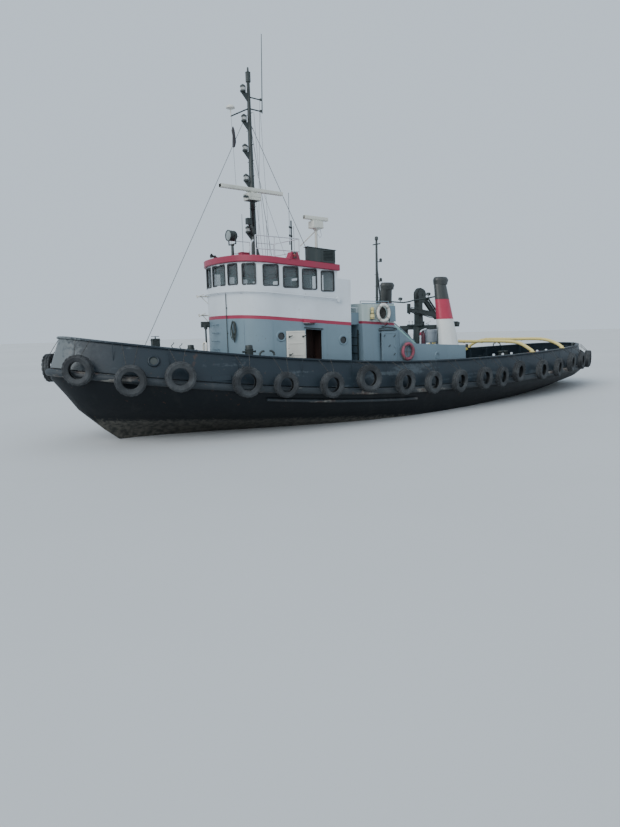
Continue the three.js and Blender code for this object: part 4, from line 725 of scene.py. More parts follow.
# House seams and door lamps: weld beads that run up the plate, and over each side door a lamp with a
# white metal hood and a dark glass under it.
seams = bmesh.new()
for side in (1, -1):
    for d in (1.25, 2.3, 4.45):
        a, outward = wall_spot(d, 1.75, 0.0, side)
        b, _ = wall_spot(d, 3.66, 0.0, side)
        cube(seams, (a + b) / 2, (0.014, 0.008, 1.9), facing(outward))
settle("house_seams", seams, grey_paint, "ship")
lamps, lamp_glasses = bmesh.new(), bmesh.new()
for side in (1, -1):
    spot, outward = wall_spot(3.70, 3.72, 0.0, side)
    cube(lamps, spot + outward * 0.08 + lift(0.03), (0.44, 0.17, 0.12), facing(outward))
    cube(lamp_glasses, spot + outward * 0.075 - lift(0.055), (0.38, 0.13, 0.07), facing(outward))
settle("door_lamps", lamps, white_paint, "ship", bevel=0.02)
settle("door_lamp_glasses", lamp_glasses, dark_glass, "ship", bevel=0.015)

# Roof gear: two trumpet horns, two crimson boxes, whip aerials in their sockets, a bent pipe and a loop
# of cable, and a railing of white pipe round the middle of the roof, all bolted to the roof plate.
roof_red, roof_black, roof_white = bmesh.new(), bmesh.new(), bmesh.new()


def roof_height(x):
    return 5.9 + SLOPE * (x - MID_X)


def turned(bm, base, turn, profile, steps=24):
    """A body of revolution: profile is (radius, height along the y of turn)."""
    place = Matrix.Translation(base) @ turn.to_4x4()
    row = [bm.verts.new(place @ at(max(r, 0.0004), h, 0)) for r, h in profile]
    edges = [bm.edges.new((a, b)) for a, b in zip(row, row[1:])]
    bmesh.ops.spin(bm, geom=edges, cent=base, axis=turn.col[1], angle=2 * math.pi, steps=steps,
                   use_merge=True)


on_end = facing(lift(1), at(1, 0, 0))
for x, y, wide, deep, tall in ((9.0, -0.55, 0.3, 0.24, 0.2), (8.92, 0.38, 0.34, 0.22, 0.26)):
    cube(roof_red, (x, y, roof_height(x) + tall / 2 - 0.02), (wide, deep, tall))
    cube(roof_red, (x, y, roof_height(x) + tall - 0.005), (wide + 0.03, deep + 0.03, 0.03))
settle("roof_boxes", roof_red, red_paint, "ship", bevel=0.012)
for x, y, long in ((9.12, -1.0, 0.5), (9.0, -1.14, 0.38)):
    foot = at(x, y, roof_height(x))
    bent_bar(roof_black, [foot, foot + lift(0.16)], 0.02, 8)
    aim = facing(at(1, 0.06, 0.16))
    turned(roof_black, foot + at(-0.12, 0, 0.17), aim, [(0, 0), (0.045, 0.0), (0.05, 0.06), (0.02, 0.09),
                                                        (0.016, 0.2), (0.028, long * 0.75), (0.085, long),
                                                        (0.078, long), (0.02, long * 0.76)], 18)
for x, y, low, high, radius in ((8.98, 0.44, 5.98, 7.62, 0.008), (6.58, 0.1, 6.75, 8.7, 0.009),
                                (6.45, 0.2, 5.8, 7.45, 0.008), (6.42, 0.0, 5.78, 7.69, 0.03),
                                (6.56, -1.45, 5.8, 7.9, 0.009), (9.0, -0.15, 6.0, 6.48, 0.008)):
    bent_bar(roof_black, [(x, y, low), (x, y, high)], radius, 8)
    drum(roof_black, at(x, y, low + 0.06), on_end, radius * 2.4, 0.12, sides=12)
for height in (7.42, 7.1):
    bent_bar(roof_black, [(6.42, 0.0, height), (6.58, 0.1, height)], 0.014, 6)
    drum(roof_black, at(6.58, 0.1, height), on_end, 0.03, 0.07, sides=10)
    drum(roof_black, at(6.42, 0.0, height), on_end, 0.045, 0.06, sides=10)
settle("roof_aerials_and_horns", roof_black, black_paint, "ship", bevel=0.002, mend=True)
bent_bar(roof_white, [(8.5, 0.22, roof_height(8.5)), (8.5, 0.22, 6.6), (8.47, 0.2, 6.7),
                      (8.36, 0.14, 6.77), (8.3, 0.1, 6.8)], 0.035, 10)
bent_bar(roof_white, [(6.6, 1.2, roof_height(6.6)), (6.62, 1.22, 6.62)], 0.014, 6)
bent_bar(roof_white, [(6.9, 1.55, roof_height(6.9)), (6.9, 1.55, 6.45)], 0.014, 6)
bent_bar(roof_white, [(7.05, 1.7, roof_height(7.05)), (7.05, 1.7, 6.3)], 0.012, 6)
loop = [(6.21, 1.5, 7.2), (6.18, 1.5, 7.08), (6.14, 1.5, 6.94), (6.24, 1.52, 6.86), (6.38, 1.55, 6.98)]
bent_bar(roof_white, loop, 0.009, 6)
for k in range(5):
    a, b = 8.75 - k * 0.42, 8.75 - (k + 1) * 0.42
    sag = [at(a, 0.55 - k * 0.1, roof_height(a) + 0.02),
           at((a + b) / 2, 0.5 - k * 0.1, roof_height(a) + 0.09),
           at(b, 0.45 - k * 0.1, roof_height(b) + 0.02)]
    bent_bar(roof_white, sag, 0.012, 6)
settle("roof_pipes_and_cables", roof_white, white_paint, "ship")
rail = bmesh.new()
posts = [(x, 0.82 * s) for x in (6.7, 7.85, 8.69) for s in (1, -1)]
for x, y in posts:
    bent_bar(rail, [(x, y, roof_height(x) - 0.01), (x, y, 6.87)], 0.019, 10)
    drum(rail, at(x, y, roof_height(x) + 0.008), on_end, 0.055, 0.016, sides=16)
for z in (6.87, 6.4):
    bent_bar(rail, [(8.69, 0.82, z), (6.72, 0.82, z), (6.7, 0.8, z), (6.7, -0.8, z), (6.72, -0.82, z),
                    (8.69, -0.82, z)], 0.018, 10)
settle("roof_railing", rail, white_paint, "ship", stands_for=("roof_rail",))

# Roof locker: folded black sheet steel over the port side windows, which follows the house wall, with
# louvres in its after half and a lid on top.
plated("roof_locker", black_paint, 0.01, 30)
louvres = bmesh.new()
for k in range(7):
    a, outward = wall_spot(4.34, 6.0 + k * 0.05, 0.078)
    b, _ = wall_spot(4.75, 6.0 + k * 0.05, 0.078)
    slat = facing(outward) @ Matrix.Rotation(0.6, 3, "X")
    cube(louvres, (a + b) / 2, ((b - a).length, 0.045, 0.008), slat)
a, outward = wall_spot(3.69, 6.385, -0.05)
b, _ = wall_spot(4.85, 6.385, -0.05)
cube(louvres, (a + b) / 2, ((b - a).length + 0.03, 0.29, 0.02), facing(outward, (a - b).cross(outward)))
for d in (3.73, 4.27, 4.81):
    a, outward = wall_spot(d, 5.95, 0.074)
    cube(louvres, a + lift(0.22), (0.03, 0.014, 0.46), facing(outward))
settle("locker_louvres", louvres, black_paint, "ship", bevel=0.002)

# Sidelights: screens of painted board in their own colours, one on each side of the roof. Each holds a
# lamp with a coloured round lens between a dark foot and cap.
green_paint = ship_paint("screen_green", (0.02, 0.13, 0.065), 0.2, 0.2, 0.4)
plated("port_sidelight", red_paint, 0.01, 30)
plated("starboard_sidelight", green_paint, 0.01, 30)
for side, name, tone, slot in ((1, "port", (0.16, 0.008, 0.012), "red_paint"),
                               (-1, "starboard", (0.008, 0.11, 0.05), "green_plastic")):
    lens = mottled(name + "_lamp_lens", 0.08, 7.0, tinted(tone, 0.8), tone, (0.3, 0.7), Coat_Weight=0.5)
    spot, outward = wall_spot(3.2, 0.0, 0.085, side)
    light, cap = bmesh.new(), bmesh.new()
    base = at(spot.x + 0.02, spot.y, roof_height(spot.x) + 0.06)
    turned(light, base, on_end, [(0.05, 0), (0.056, 0.03), (0.056, 0.09), (0.05, 0.12)], 20)
    turned(cap, base, on_end, [(0, -0.03), (0.065, -0.03), (0.065, 0.0), (0, 0.0)], 20)
    turned(cap, base + lift(0.12), on_end, [(0, 0), (0.062, 0), (0.06, 0.03), (0.02, 0.06), (0, 0.065)], 20)
    settle(name + "_lamp_lens", light, lens, "ship")
    settle(name + "_lamp_body", cap, black_paint, "ship")

# Main mast: a tapering steel tube on a stepped foot, with a black lantern on each bracket, the radar's
# arm and strut, an aerial with a mushroom head, a rolled flag, thin halyards and steps.
plated("main_mast", black_paint, 0.006, 40)
lantern_body, lantern_glass, mast_white = bmesh.new(), bmesh.new(), bmesh.new()
lantern_lens = mottled("lantern_lens", 0.1, 9.0, (0.28, 0.3, 0.3), (0.45, 0.47, 0.46), Coat_Weight=0.4)
for z in (7.05, 8.9, 9.95, 10.98, 12.0):
    base = at(8.44, 0, z + 0.012)
    turned(lantern_body, base, on_end, [(0, 0), (0.1, 0), (0.105, 0.05), (0.09, 0.06), (0, 0.06)], 20)
    turned(lantern_glass, base + lift(0.05), on_end, [(0.088, 0), (0.094, 0.05), (0.088, 0.11)], 20)
    turned(lantern_body, base + lift(0.16), on_end, [(0, 0), (0.102, 0), (0.1, 0.05), (0.05, 0.09),
                                                     (0.02, 0.11), (0, 0.112)], 20)
    for k in range(3):
        a = 2.1 * k + 0.6
        bent_bar(lantern_body, [base + at(0.1 * math.cos(a), 0.1 * math.sin(a), h) for h in (0.03, 0.19)],
                 0.006, 6)
turned(lantern_body, at(8.2, 0, 12.7), on_end, [(0.09, 0), (0.1, 0.03), (0.04, 0.06), (0.03, 0.2),
                                                (0, 0.21)], 16)
cube(lantern_body, (8.62, 0.34, 7.42), (0.2, 0.16, 0.22))
bent_bar(lantern_body, [(8.25, 0.05, 6.95), (8.5, 0.24, 7.2), (8.62, 0.34, 7.34)], 0.035, 8)
bent_bar(lantern_body, [(8.99, 1.16, 7.9), (9.22, 1.3, 8.02), (9.34, 1.34, 8.03)], 0.018, 8)
cube(lantern_body, (9.38, 1.35, 8.03), (0.16, 0.1, 0.06))
for x, y, z in ((7.68, 0, 11.9), (7.68, 0, 11.5)):
    drum(lantern_body, at(x, y, z), on_end, 0.035, 0.08, sides=12)
for k in range(9):
    height = 6.9 + k * 0.55
    for s in (1, -1):
        bent_bar(lantern_body, [(8.2, 0.0, height), (8.2, 0.21 * s, height)], 0.011, 6)
settle("mast_lanterns", lantern_body, black_paint, "ship")
settle("mast_lantern_glass", lantern_glass, lantern_lens, "ship")
turned(mast_white, at(9.0, 0, 11.08), on_end, [(0.02, 0), (0.02, 0.22), (0.08, 0.24), (0.16, 0.27),
                                               (0.155, 0.31), (0.11, 0.36), (0, 0.38)], 24)
plastic_white = Finish("aerial_plastic", 0.35)
plastic_white.feed("Base Color", plastic_white.mix(plastic_white.noise(3.0, 6.0).soft(0.35, 0.7),
                                                   (0.5, 0.5, 0.46), (0.68, 0.68, 0.64)))
plastic_white.feed("Roughness", 0.3 + plastic_white.noise(12.0) * 0.25)
settle("mushroom_aerial", mast_white, plastic_white, "ship")
line = mottled("flag_line", 0.8, 6.0, (0.08, 0.085, 0.09), (0.2, 0.2, 0.19))
halyards = bmesh.new()
for foot, head in (((7.9, 0.35, roof_height(7.9)), (8.02, 0.03, 11.4)),
                   ((7.82, 0.5, roof_height(7.82)), (7.72, 0.02, 11.48)),
                   ((7.75, -0.4, roof_height(7.75)), (7.7, -0.02, 11.86)),
                   ((9.0, 0.02, 11.08), (9.05, 0.25, 8.6)),
                   ((7.2, 0.78, roof_height(7.2)), (8.14, 0.06, 9.6)),
                   ((7.2, -0.78, roof_height(7.2)), (8.14, -0.06, 9.6))):
    bent_bar(halyards, [foot, head], 0.006, 6)
settle("halyards", halyards, line, "ship")
flag_cloth = mottled("rolled_flag", 0.9, 5.0, (0.02, 0.022, 0.03), (0.05, 0.045, 0.05))
flag_cloth.bump(flag_cloth.noise(14.0, 3.0, (1.0, 1.0, 0.2)), 0.5, 0.01)
flag = bmesh.new()
turned(flag, at(8.93, 0.03, 10.0), on_end, [(0, 0), (0.05, 0.04), (0.07, 0.2), (0.055, 0.42), (0.06, 0.6),
                                            (0.02, 0.72), (0, 0.74)], 14)
for vert in flag.verts:
    vert.co.x += 0.02 * math.sin(vert.co.z * 9.0)
settle("rolled_flag", flag, flag_cloth, "ship")

# Radars: long white plastic bars with rounded ends that turn on round feet. The gearboxes below them
# are cast metal, painted white, on an arm of the mast and on a post of their own.
MAIN_RADAR, SMALL_RADAR = (8.99, 1.16), (6.46, 1.56)
bar_white = ship_paint("radar_white", (0.56, 0.57, 0.52), 0.3, 0.15, 0.4, 0.1, (0.2, 0.2, 0.17))
for node, centre, length, deep, tall in (("main_radar_scanner", at(*MAIN_RADAR, 8.33), 2.58, 0.15, 0.12),
                                         ("small_radar_scanner", at(*SMALL_RADAR, 7.535), 1.10, 0.14,
                                          0.13)):
    scanner, foot = bmesh.new(), bmesh.new()
    cube(scanner, centre, (length, deep, tall))
    cube(scanner, centre + at(0, deep / 2, 0.0), (length * 0.98, 0.012, tall * 0.72))
    for s in (1, -1):
        cube(scanner, centre + at(s * (length / 2 - 0.008), 0, 0), (0.016, deep * 1.06, tall * 1.06))
    cube(foot, centre - lift(tall / 2 + 0.012), (0.42, 0.12, 0.03))
    low = centre.z - tall / 2 - 0.055
    turned(foot, at(centre.x, centre.y, low + 0.002), on_end, [(0, 0), (0.085, 0), (0.078, 0.03),
            (0.05, 0.045), (0, 0.045)])
    settle(node + "_bar", scanner, bar_white, node, bevel=0.02, stands_for=(node,))
    settle(node + "_foot", foot, bar_white, node, bevel=0.003)
gearbox = bmesh.new()
cube(gearbox, (*MAIN_RADAR, 8.075), (0.50, 0.36, 0.235))
cube(gearbox, (*MAIN_RADAR, 8.075), (0.52, 0.38, 0.02))
for k in range(6):
    cube(gearbox, (8.8 + k * 0.076, 1.345, 8.0), (0.03, 0.02, 0.08))
cube(gearbox, (*SMALL_RADAR, 7.29), (0.47, 0.32, 0.255))
cube(gearbox, (*SMALL_RADAR, 7.20), (0.50, 0.35, 0.02))
turned(gearbox, at(*SMALL_RADAR, 7.08), on_end, [(0.06, 0), (0.13, 0.08), (0.14, 0.09)], 20)
settle("radar_gearboxes", gearbox, bar_white, "ship", bevel=0.02)
plated("small_radar_post", bar_white, 0.006, 40)
brace = bmesh.new()
bent_bar(brace, [(*SMALL_RADAR, 7.08), (*SMALL_RADAR, roof_height(SMALL_RADAR[0]))], 0.052, 12)
drum(brace, at(*SMALL_RADAR, roof_height(SMALL_RADAR[0]) + 0.01), on_end, 0.1, 0.02, sides=20)
settle("radar_post_skin", brace, white_paint, "ship")

# Searchlight: a spun steel drum with a rounded back, rolled rings and a ribbed glass, held at its
# sides in a forked yoke that turns on a post.
search, search_glass = bmesh.new(), bmesh.new()
axis_spot = at(9.15, 0, 6.91)
aim = facing(at(1, 0, 0))
turned(search, axis_spot - at(0.17, 0, 0), aim, [(0, 0), (0.09, 0.0), (0.15, 0.03), (0.178, 0.07),
                                                 (0.18, 0.1), (0.186, 0.105), (0.186, 0.125),
                                                 (0.181, 0.13), (0.184, 0.2), (0.19, 0.205),
                                                 (0.19, 0.225), (0.185, 0.23), (0.19, 0.31), (0.2, 0.315),
                                                 (0.2, 0.345), (0.183, 0.352), (0.178, 0.335)], 36)
for s in (1, -1):
    drum(search, axis_spot + at(0, 0.2 * s, 0), facing(at(0, s, 0)), 0.03, 0.05, sides=16)
settle("searchlight_drum", search, black_paint, "searchlight", stands_for=("searchlight",),
       mend=True)
turned(search_glass, axis_spot + at(0.16, 0, 0), aim, [(0.18, 0.0), (0.14, 0.012), (0.07, 0.02),
                                                       (0, 0.022)], 36)
search_lens = Finish("searchlight_glass", 0.12, Coat_Weight=0.6)
ribs = search_lens.noise(8.0, 3.0, (0.2, 4.0, 0.2))
search_lens.feed("Base Color", search_lens.mix(ribs.soft(0.35, 0.65), (0.13, 0.16, 0.165),
                                               (0.3, 0.34, 0.34)))
search_lens.feed("Roughness", 0.1 + ribs * 0.15)
settle("searchlight_glass", search_glass, search_lens, "searchlight")
plated("searchlight_yoke", black_paint, 0.006, 40)
plated("searchlight_post", black_paint, 0.004, 40)
yoke_gear = bmesh.new()
for s in (1, -1):
    drum(yoke_gear, axis_spot + at(0, 0.25 * s, 0), facing(at(0, s, 0)), 0.04, 0.03, sides=8)
    bent_bar(yoke_gear, [axis_spot + at(0, 0.265 * s, 0), axis_spot + at(-0.1, 0.27 * s, -0.06)], 0.01, 6)
settle("yoke_knobs", yoke_gear, black_paint, "searchlight_yoke", bevel=0.003)

# Engine casing: welded grey plate, pale over a crimson line on its raised trunk, with seams, rails and
# rain ledges welded on and a weathertight steel door in its port side.
casing_paint = ship_paint("casing_plate", house_grey, 0.22, 0.35, 0.45, 0.4, (0.11, 0.14, 0.155))
casing_line = casing_paint.z - casing_paint.x * 0.053 + casing_paint.specks * 0.02
on_trunk = casing_paint.x.over(3.24)
over_line = casing_line.over(3.475) * on_trunk
line_red = (casing_line.over(3.375) - casing_line.over(3.475)) * on_trunk
trunk_white = casing_paint.mix(casing_paint.runs.soft(0.35, 0.7), (0.47, 0.55, 0.54), (0.36, 0.43, 0.41))
slope_edge = (casing_paint.x.under(3.3) * (casing_paint.z - casing_paint.x * 0.635).over(1.43) *
              casing_paint.z.over(2.8))
shade = casing_paint.mix(over_line, casing_paint.colour, trunk_white)
shade = casing_paint.mix(slope_edge, shade, (0.22, 0.40, 0.37))
casing_paint.feed("Base Color", casing_paint.mix(line_red, shade, tinted(ship_red, 0.85)))
plated("engine_casing", casing_paint, 0.012, 28)
plated("casing_door", grey_paint, 0.012, 32)
plated("alley_platform", grey_paint, 0.008, 28)
plated("alley_ladder", black_paint, 0.004, 40)


def casing_side(x, z, proud=0.0, side=1):
    """A point on the casing's leaning side."""
    return at(x, side * (2.56 * (1.03 - 0.02 * (z - 1)) + proud), z)


casing_trim, casing_dark = bmesh.new(), bmesh.new()
door_gear, door_dark = bmesh.new(), bmesh.new()
side_turn = facing(at(0, 1, 0.051))
for side in (1, -1):
    out = at(0, side, 0.051)
    turn = facing(out)
    for x in (3.03, 4.124):
        if side > 0 and x > 4.0:
            continue
        cube(casing_trim, casing_side(x, 2.4, 0.006, side), (0.03, 0.02, 1.86), turn)
    if side < 0:
        window_ring(casing_trim, casing_side(3.72, 2.4, 0.0, side), turn, 0.84, 1.86, 0.05, 0.02, 0.1)
        for x, z in ((3.4, 3.1), (4.04, 3.1), (3.4, 2.4), (4.04, 2.4), (3.4, 1.7), (4.04, 1.7)):
            drum(casing_trim, casing_side(x, z, 0.03, side), turn, 0.03, 0.05, sides=12)
    cube(casing_dark, casing_side(3.72, 3.36, 0.045, side), (0.96, 0.09, 0.022), turn)
    bent_bar(casing_dark, [casing_side(3.2, 3.39, 0.05, side), casing_side(3.45, 3.45, 0.07, side),
                           casing_side(3.75, 3.47, 0.08, side), casing_side(4.2, 3.42, 0.06, side)], 0.02,
             8)
    bent_bar(casing_dark, [casing_side(4.0, 3.5, 0.0, side), casing_side(3.99, 3.5, 0.1, side),
                           casing_side(3.75, 3.6, 0.12, side), casing_side(3.7, 3.59, 0.0, side)], 0.017, 8)
    for x in (0.05, -0.62, 1.95, 4.96):
        cube(casing_trim, casing_side(x, 1.85, 0.002, side), (0.016, 0.01, 1.4), turn)
    cube(casing_trim, casing_side(2.02, 1.42, 0.01, side), (6.1, 0.03, 0.05), turn)
    low_rail = [casing_side(x, 2.64 + 0.05 * x + 0.012, -0.02, side) for x in (-1.24, 0.4, 1.94)]
    bent_bar(casing_trim, low_rail, 0.02, 8)
    bent_bar(casing_trim, [casing_side(5.03, 4.39, -0.01, side), casing_side(3.26, 4.39, -0.01, side)],
             0.02, 8)
    bent_bar(casing_trim, [casing_side(3.27, 3.63, -0.01, side), casing_side(2.14, 2.885, -0.01, side)],
             0.022, 8)
    for x in (4.95, 4.1, 3.4):
        bent_bar(casing_trim, [at(x, 2.3 * side, 4.38), at(x, 2.3 * side, 4.49)], 0.014, 6)
    bent_bar(casing_trim, [at(4.95, 2.3 * side, 4.49), at(3.4, 2.3 * side, 4.49)], 0.014, 6)
cube(casing_trim, (3.42, 2.53, 4.0), (0.34, 0.03, 0.62), side_turn)
settle("casing_trim", casing_trim, grey_paint, "ship", bevel=0.003)
settle("casing_rails", casing_dark, black_paint, "ship", bevel=0.002)
leaf_y = 2.56 * (1.03 - 0.02 * 0.48) + 0.052
level_out = facing(at(0, 1, 0))
window_ring(door_gear, at(3.71, leaf_y, 2.395), level_out, 0.72, 1.72, 0.03, 0.012, 0.08)
for x, z in ((3.42, 3.12), (3.98, 3.14), (3.42, 2.4), (3.42, 1.72), (3.98, 1.72), (3.7, 2.74)):
    drum(door_gear, at(x, leaf_y + 0.007, z), level_out, 0.024, 0.018, sides=12)
    cube(door_dark, (x + 0.04, leaf_y + 0.015, z), (0.13, 0.01, 0.028),
         level_out @ Matrix.Rotation(0.7, 3, "Y"))
drum(door_gear, at(3.42, leaf_y + 0.006, 2.72), level_out, 0.065, 0.016, sides=24)
alley_rail = bmesh.new()
for side in (1, -1):
    bent_bar(alley_rail, [(5.06, 2.26 * side, 4.23), (5.6, 2.26 * side, 4.25)], 0.016, 8)
    for x in (5.1, 5.55):
        bent_bar(alley_rail, [(x, 2.26 * side, 4.04), (x, 2.26 * side, 4.24)], 0.014, 6)
settle("alley_rails", alley_rail, white_paint, "ship")
settle("casing_door_ribs", door_gear, grey_paint, "casing_door", bevel=0.003)
settle("casing_door_dogs", door_dark, black_paint, "casing_door", bevel=0.002)

# Life rings: foam rings in cloth, each with a grab line lashed on at four bands and a bracket behind.
# A coil of line and a yellow float lamp hang with the white one.
WHITE_RING, RED_RING = (4.03, 4.03), (2.63, 2.48)
ring_line = bmesh.new()
for node, x, z, tone, band_tone in (
        ("white_life_ring", *WHITE_RING, (0.66, 0.66, 0.62), (0.42, 0.40, 0.36)),
        ("red_life_ring", *RED_RING, (0.34, 0.085, 0.125), (0.22, 0.12, 0.13))):
    cloth = Finish(node + "_cloth", 0.75)
    wear = cloth.noise(3.0, 6.0)
    cloth.feed("Base Color", cloth.mix(wear.soft(0.35, 0.7), tone, tinted(tone, 0.62)))
    cloth.feed("Roughness", 0.65 + wear * 0.25)
    cloth.bump(cloth.noise(40.0, 3.0), 0.25, 0.004)
    band = mottled(node + "_bands", 0.75, 9.0, band_tone, tinted(band_tone, 0.7))
    body, lashings = bmesh.new(), bmesh.new()
    centre = at(x, 2.64, z)
    hoop(body, centre, level_out, 0.31, 0.062, 48, 16)
    for quarter in range(4):
        a = math.radians(45 + 90 * quarter)
        spoke = at(math.cos(a), 0, math.sin(a))
        around_tube = facing(at(-spoke.z, 0, spoke.x), spoke)
        for k in (-1, 0, 1):
            hoop(lashings, centre + spoke * 0.31 + at(-spoke.z, 0, spoke.x) * 0.026 * k, around_tube,
                 0.058, 0.013, 16, 6)
        arc = []
        for k in range(9):
            b = a + math.radians(90 * k / 8)
            arc.append(centre + at(math.cos(b), 0, math.sin(b)) * (0.375 +
                    0.035 * math.sin(math.pi * k / 8)))
        bent_bar(ring_line, arc, 0.009, 6)
    cube(body, (x, 2.545, z + 0.26), (0.08, 0.19, 0.06))
    settle(node + "_body", body, cloth, "ship", stands_for=(node,))
    settle(node + "_lashings", lashings, band, "ship")
for reach in (at(0.26, 0, 0), lift(0.26)):
    bent_bar(ring_line, [at(RED_RING[0], 2.63, RED_RING[1]) - reach, at(RED_RING[0], 2.6, RED_RING[1]),
                         at(RED_RING[0], 2.63, RED_RING[1]) + reach], 0.012, 6)
settle("ring_grab_lines", ring_line, line, "ship")
store = bmesh.new()
drum(store, at(WHITE_RING[0], 2.53, WHITE_RING[1]), level_out, 0.24, 0.05, sides=28)
for k in range(4):
    hoop(store, at(WHITE_RING[0], 2.565, WHITE_RING[1]), level_out, 0.07 + 0.045 * k, 0.02, 28, 6)
settle("line_coil_in_ring", store, rope, "ship", bevel=0.004)
float_lamp, float_grip = bmesh.new(), bmesh.new()
turned(float_lamp, at(4.56, 2.56, 3.80), on_end, [(0, 0), (0.075, 0.0), (0.08, 0.03), (0.08, 0.16),
                                                  (0.055, 0.2), (0.05, 0.32), (0.07, 0.34), (0.065, 0.42),
                                                  (0.03, 0.45), (0, 0.455)], 20)
for z in (3.84, 4.02):
    hoop(float_grip, at(4.56, 2.56, z), on_end, 0.076, 0.012, 20, 6)
    cube(float_grip, (4.56, 2.47, z), (0.05, 0.1, 0.03))
cube(float_grip, (4.56, 2.56, 3.77), (0.18, 0.16, 0.02))
float_yellow = mottled("float_yellow", 0.5, 6.0, (0.62, 0.55, 0.22), (0.5, 0.42, 0.2), (0.35, 0.7))
settle("ring_float_lamp", float_lamp, float_yellow, "ship")
settle("ring_float_bracket", float_grip, black_paint, "ship")

# Funnels: rolled oval plate with welded belts between white, crimson and black, and a hood over the
# top with two exhaust pipes inside.
FUNNEL_FOOT, FUNNEL_HEAD, RED_FROM, BLACK_FROM = 2.5775, 5.38, 3.78, 4.655
funnel_paint = ship_paint("funnel_bands", (0.62, 0.64, 0.63), 0.2, 0.2, 0.42, 0.35, (0.3, 0.29, 0.27))
soot = funnel_paint.mix(funnel_paint.runs.soft(0.3, 0.7), (0.02, 0.026, 0.028), (0.045, 0.048, 0.045))
funnel_red = funnel_paint.mix(funnel_paint.clouds.soft(0.3, 0.7), (0.32, 0.014, 0.043), (0.40, 0.03, 0.068))
edge_z = funnel_paint.z + (funnel_paint.specks - 0.5) * 0.02
shade = funnel_paint.mix(edge_z.over(RED_FROM), funnel_paint.colour, funnel_red)
funnel_paint.feed("Base Color", funnel_paint.mix(edge_z.over(BLACK_FROM), shade, soot))


def oval_ring(bm, x, y, half_x, half_y, z, count=40):
    return [bm.verts.new((x + half_x * math.cos(2 * math.pi * k / count),
                          y + half_y * math.sin(2 * math.pi * k / count), z)) for k in range(count)]


def lofted(bm, rings, caps=False):
    for low, high in zip(rings, rings[1:]):
        for k in range(len(low)):
            j = (k + 1) % len(low)
            bm.faces.new((low[k], low[j], high[j], high[k]))
    if caps:
        bm.faces.new(rings[0][::-1])
        bm.faces.new(rings[-1])


pipe_black = bmesh.new()
for name, side in (("port_funnel", 1), ("starboard_funnel", -1)):
    stack = bmesh.new()

    def funnel_at(z, grow=0.0):
        share = (z - FUNNEL_FOOT) / (FUNNEL_HEAD - FUNNEL_FOOT)
        return (-0.66 + 0.08 * share, side * (2.08 - 0.44 * share), 0.56 - 0.23 * share + grow,
                0.37 - 0.16 * share + grow, z)
    outside = [oval_ring(stack, *funnel_at(2.53 + 0.19 * k)) for k in range(16)]
    inside = [oval_ring(stack, *funnel_at(z, -0.04)) for z in (FUNNEL_HEAD, 4.4, 3.4, 2.53)]
    lofted(stack, outside + inside)
    for z in (RED_FROM, BLACK_FROM):
        x, y, half_x, half_y, _ = funnel_at(z, 0.007)
        loft_belt = [oval_ring(stack, x, y, half_x + d, half_y + d, z + h)
                     for d, h in ((-0.012, -0.02), (0, -0.014), (0, 0.014), (-0.012, 0.02))]
        lofted(stack, loft_belt)
    y = 1.64 * side
    hood_rings = [(-0.62, 0.37, 0.25, 5.30), (-0.625, 0.385, 0.257, 5.37), (-0.633, 0.405, 0.265, 5.45),
                  (-0.64, 0.42, 0.27, 5.5), (-0.637, 0.40, 0.255, 5.55), (-0.633, 0.365, 0.232, 5.60),
                  (-0.63, 0.33, 0.21, 5.63), (-0.63, 0.29, 0.17, 5.63), (-0.6, 0.30, 0.18, 5.37),
                  (-0.6, 0.31, 0.19, 5.3)]
    rings = [oval_ring(stack, x, y, a, b, z) for x, a, b, z in hood_rings]
    lofted(stack, rings + rings[:1])
    settle(name + "_plating", stack, funnel_paint, "ship", 35, stands_for=(name,), mend=True)
    for dx, radius in ((0.08, 0.085), (-0.13, 0.06)):
        hoop(pipe_black, at(-0.6 + dx, y, 5.56), on_end, radius, 0.006, 20, 6)
        place = Matrix.Translation((-0.6 + dx, y, 5.1))
        bmesh.ops.create_cone(pipe_black, cap_ends=False, segments=20, radius1=radius, radius2=radius,
                              depth=0.92, matrix=place)
    bent_bar(pipe_black, [(-0.14, side * 1.9, 2.62), (-0.14, side * 1.9, 3.4), (-0.22, side * 1.86, 3.5)],
             0.02, 8)
settle("exhaust_pipes", pipe_black, black_paint, "ship", 35, mend=True)

# Between the funnels: a steel pipe slung across with two floodlights, an oval grey locker on four feet,
# a bent vent pipe and a gas bottle. A third floodlight stands on an arm of the port funnel.
slung = bmesh.new()
sag = [at(-0.35, y, z) for y, z in ((-1.52, 4.72), (-1.09, 4.69), (-0.72, 4.65), (-0.32, 4.61),
                                    (0.07, 4.64), (0.33, 4.69), (0.71, 4.70), (1.0, 4.73), (1.28, 4.75),
                                    (1.56, 4.78))]
bent_bar(slung, sag, 0.032, 10)
lamp_spots = (at(-0.35, -0.52, 4.785), at(-0.35, 1.18, 4.91))
for spot in lamp_spots:
    bent_bar(slung, [spot, spot - at(0.0, 0, 0.15)], 0.016, 6)
    cube(slung, spot, (0.11, 0.17, 0.12), Matrix.Rotation(-0.35, 3, "Y"))
bent_bar(slung, [(-0.98, 1.86, 3.42), (-1.2, 1.9, 3.44), (-1.3, 1.92, 3.5)], 0.022, 8)
cube(slung, (-1.38, 1.93, 3.55), (0.18, 0.26, 0.2), Matrix.Rotation(-0.3, 3, "Y"))
settle("slung_pipe_and_floodlights", slung, black_paint, "ship", bevel=0.008)
flood_glass = bmesh.new()
for spot in lamp_spots:
    cube(flood_glass, spot + at(0.055, 0, -0.018), (0.01, 0.14, 0.085), Matrix.Rotation(-0.35, 3, "Y"))
cube(flood_glass, (-1.467, 1.93, 3.52), (0.012, 0.2, 0.14), Matrix.Rotation(-0.3, 3, "Y"))
settle("floodlight_glass", flood_glass, lantern_lens, "ship")
bin_body, bin_pipe = bmesh.new(), bmesh.new()
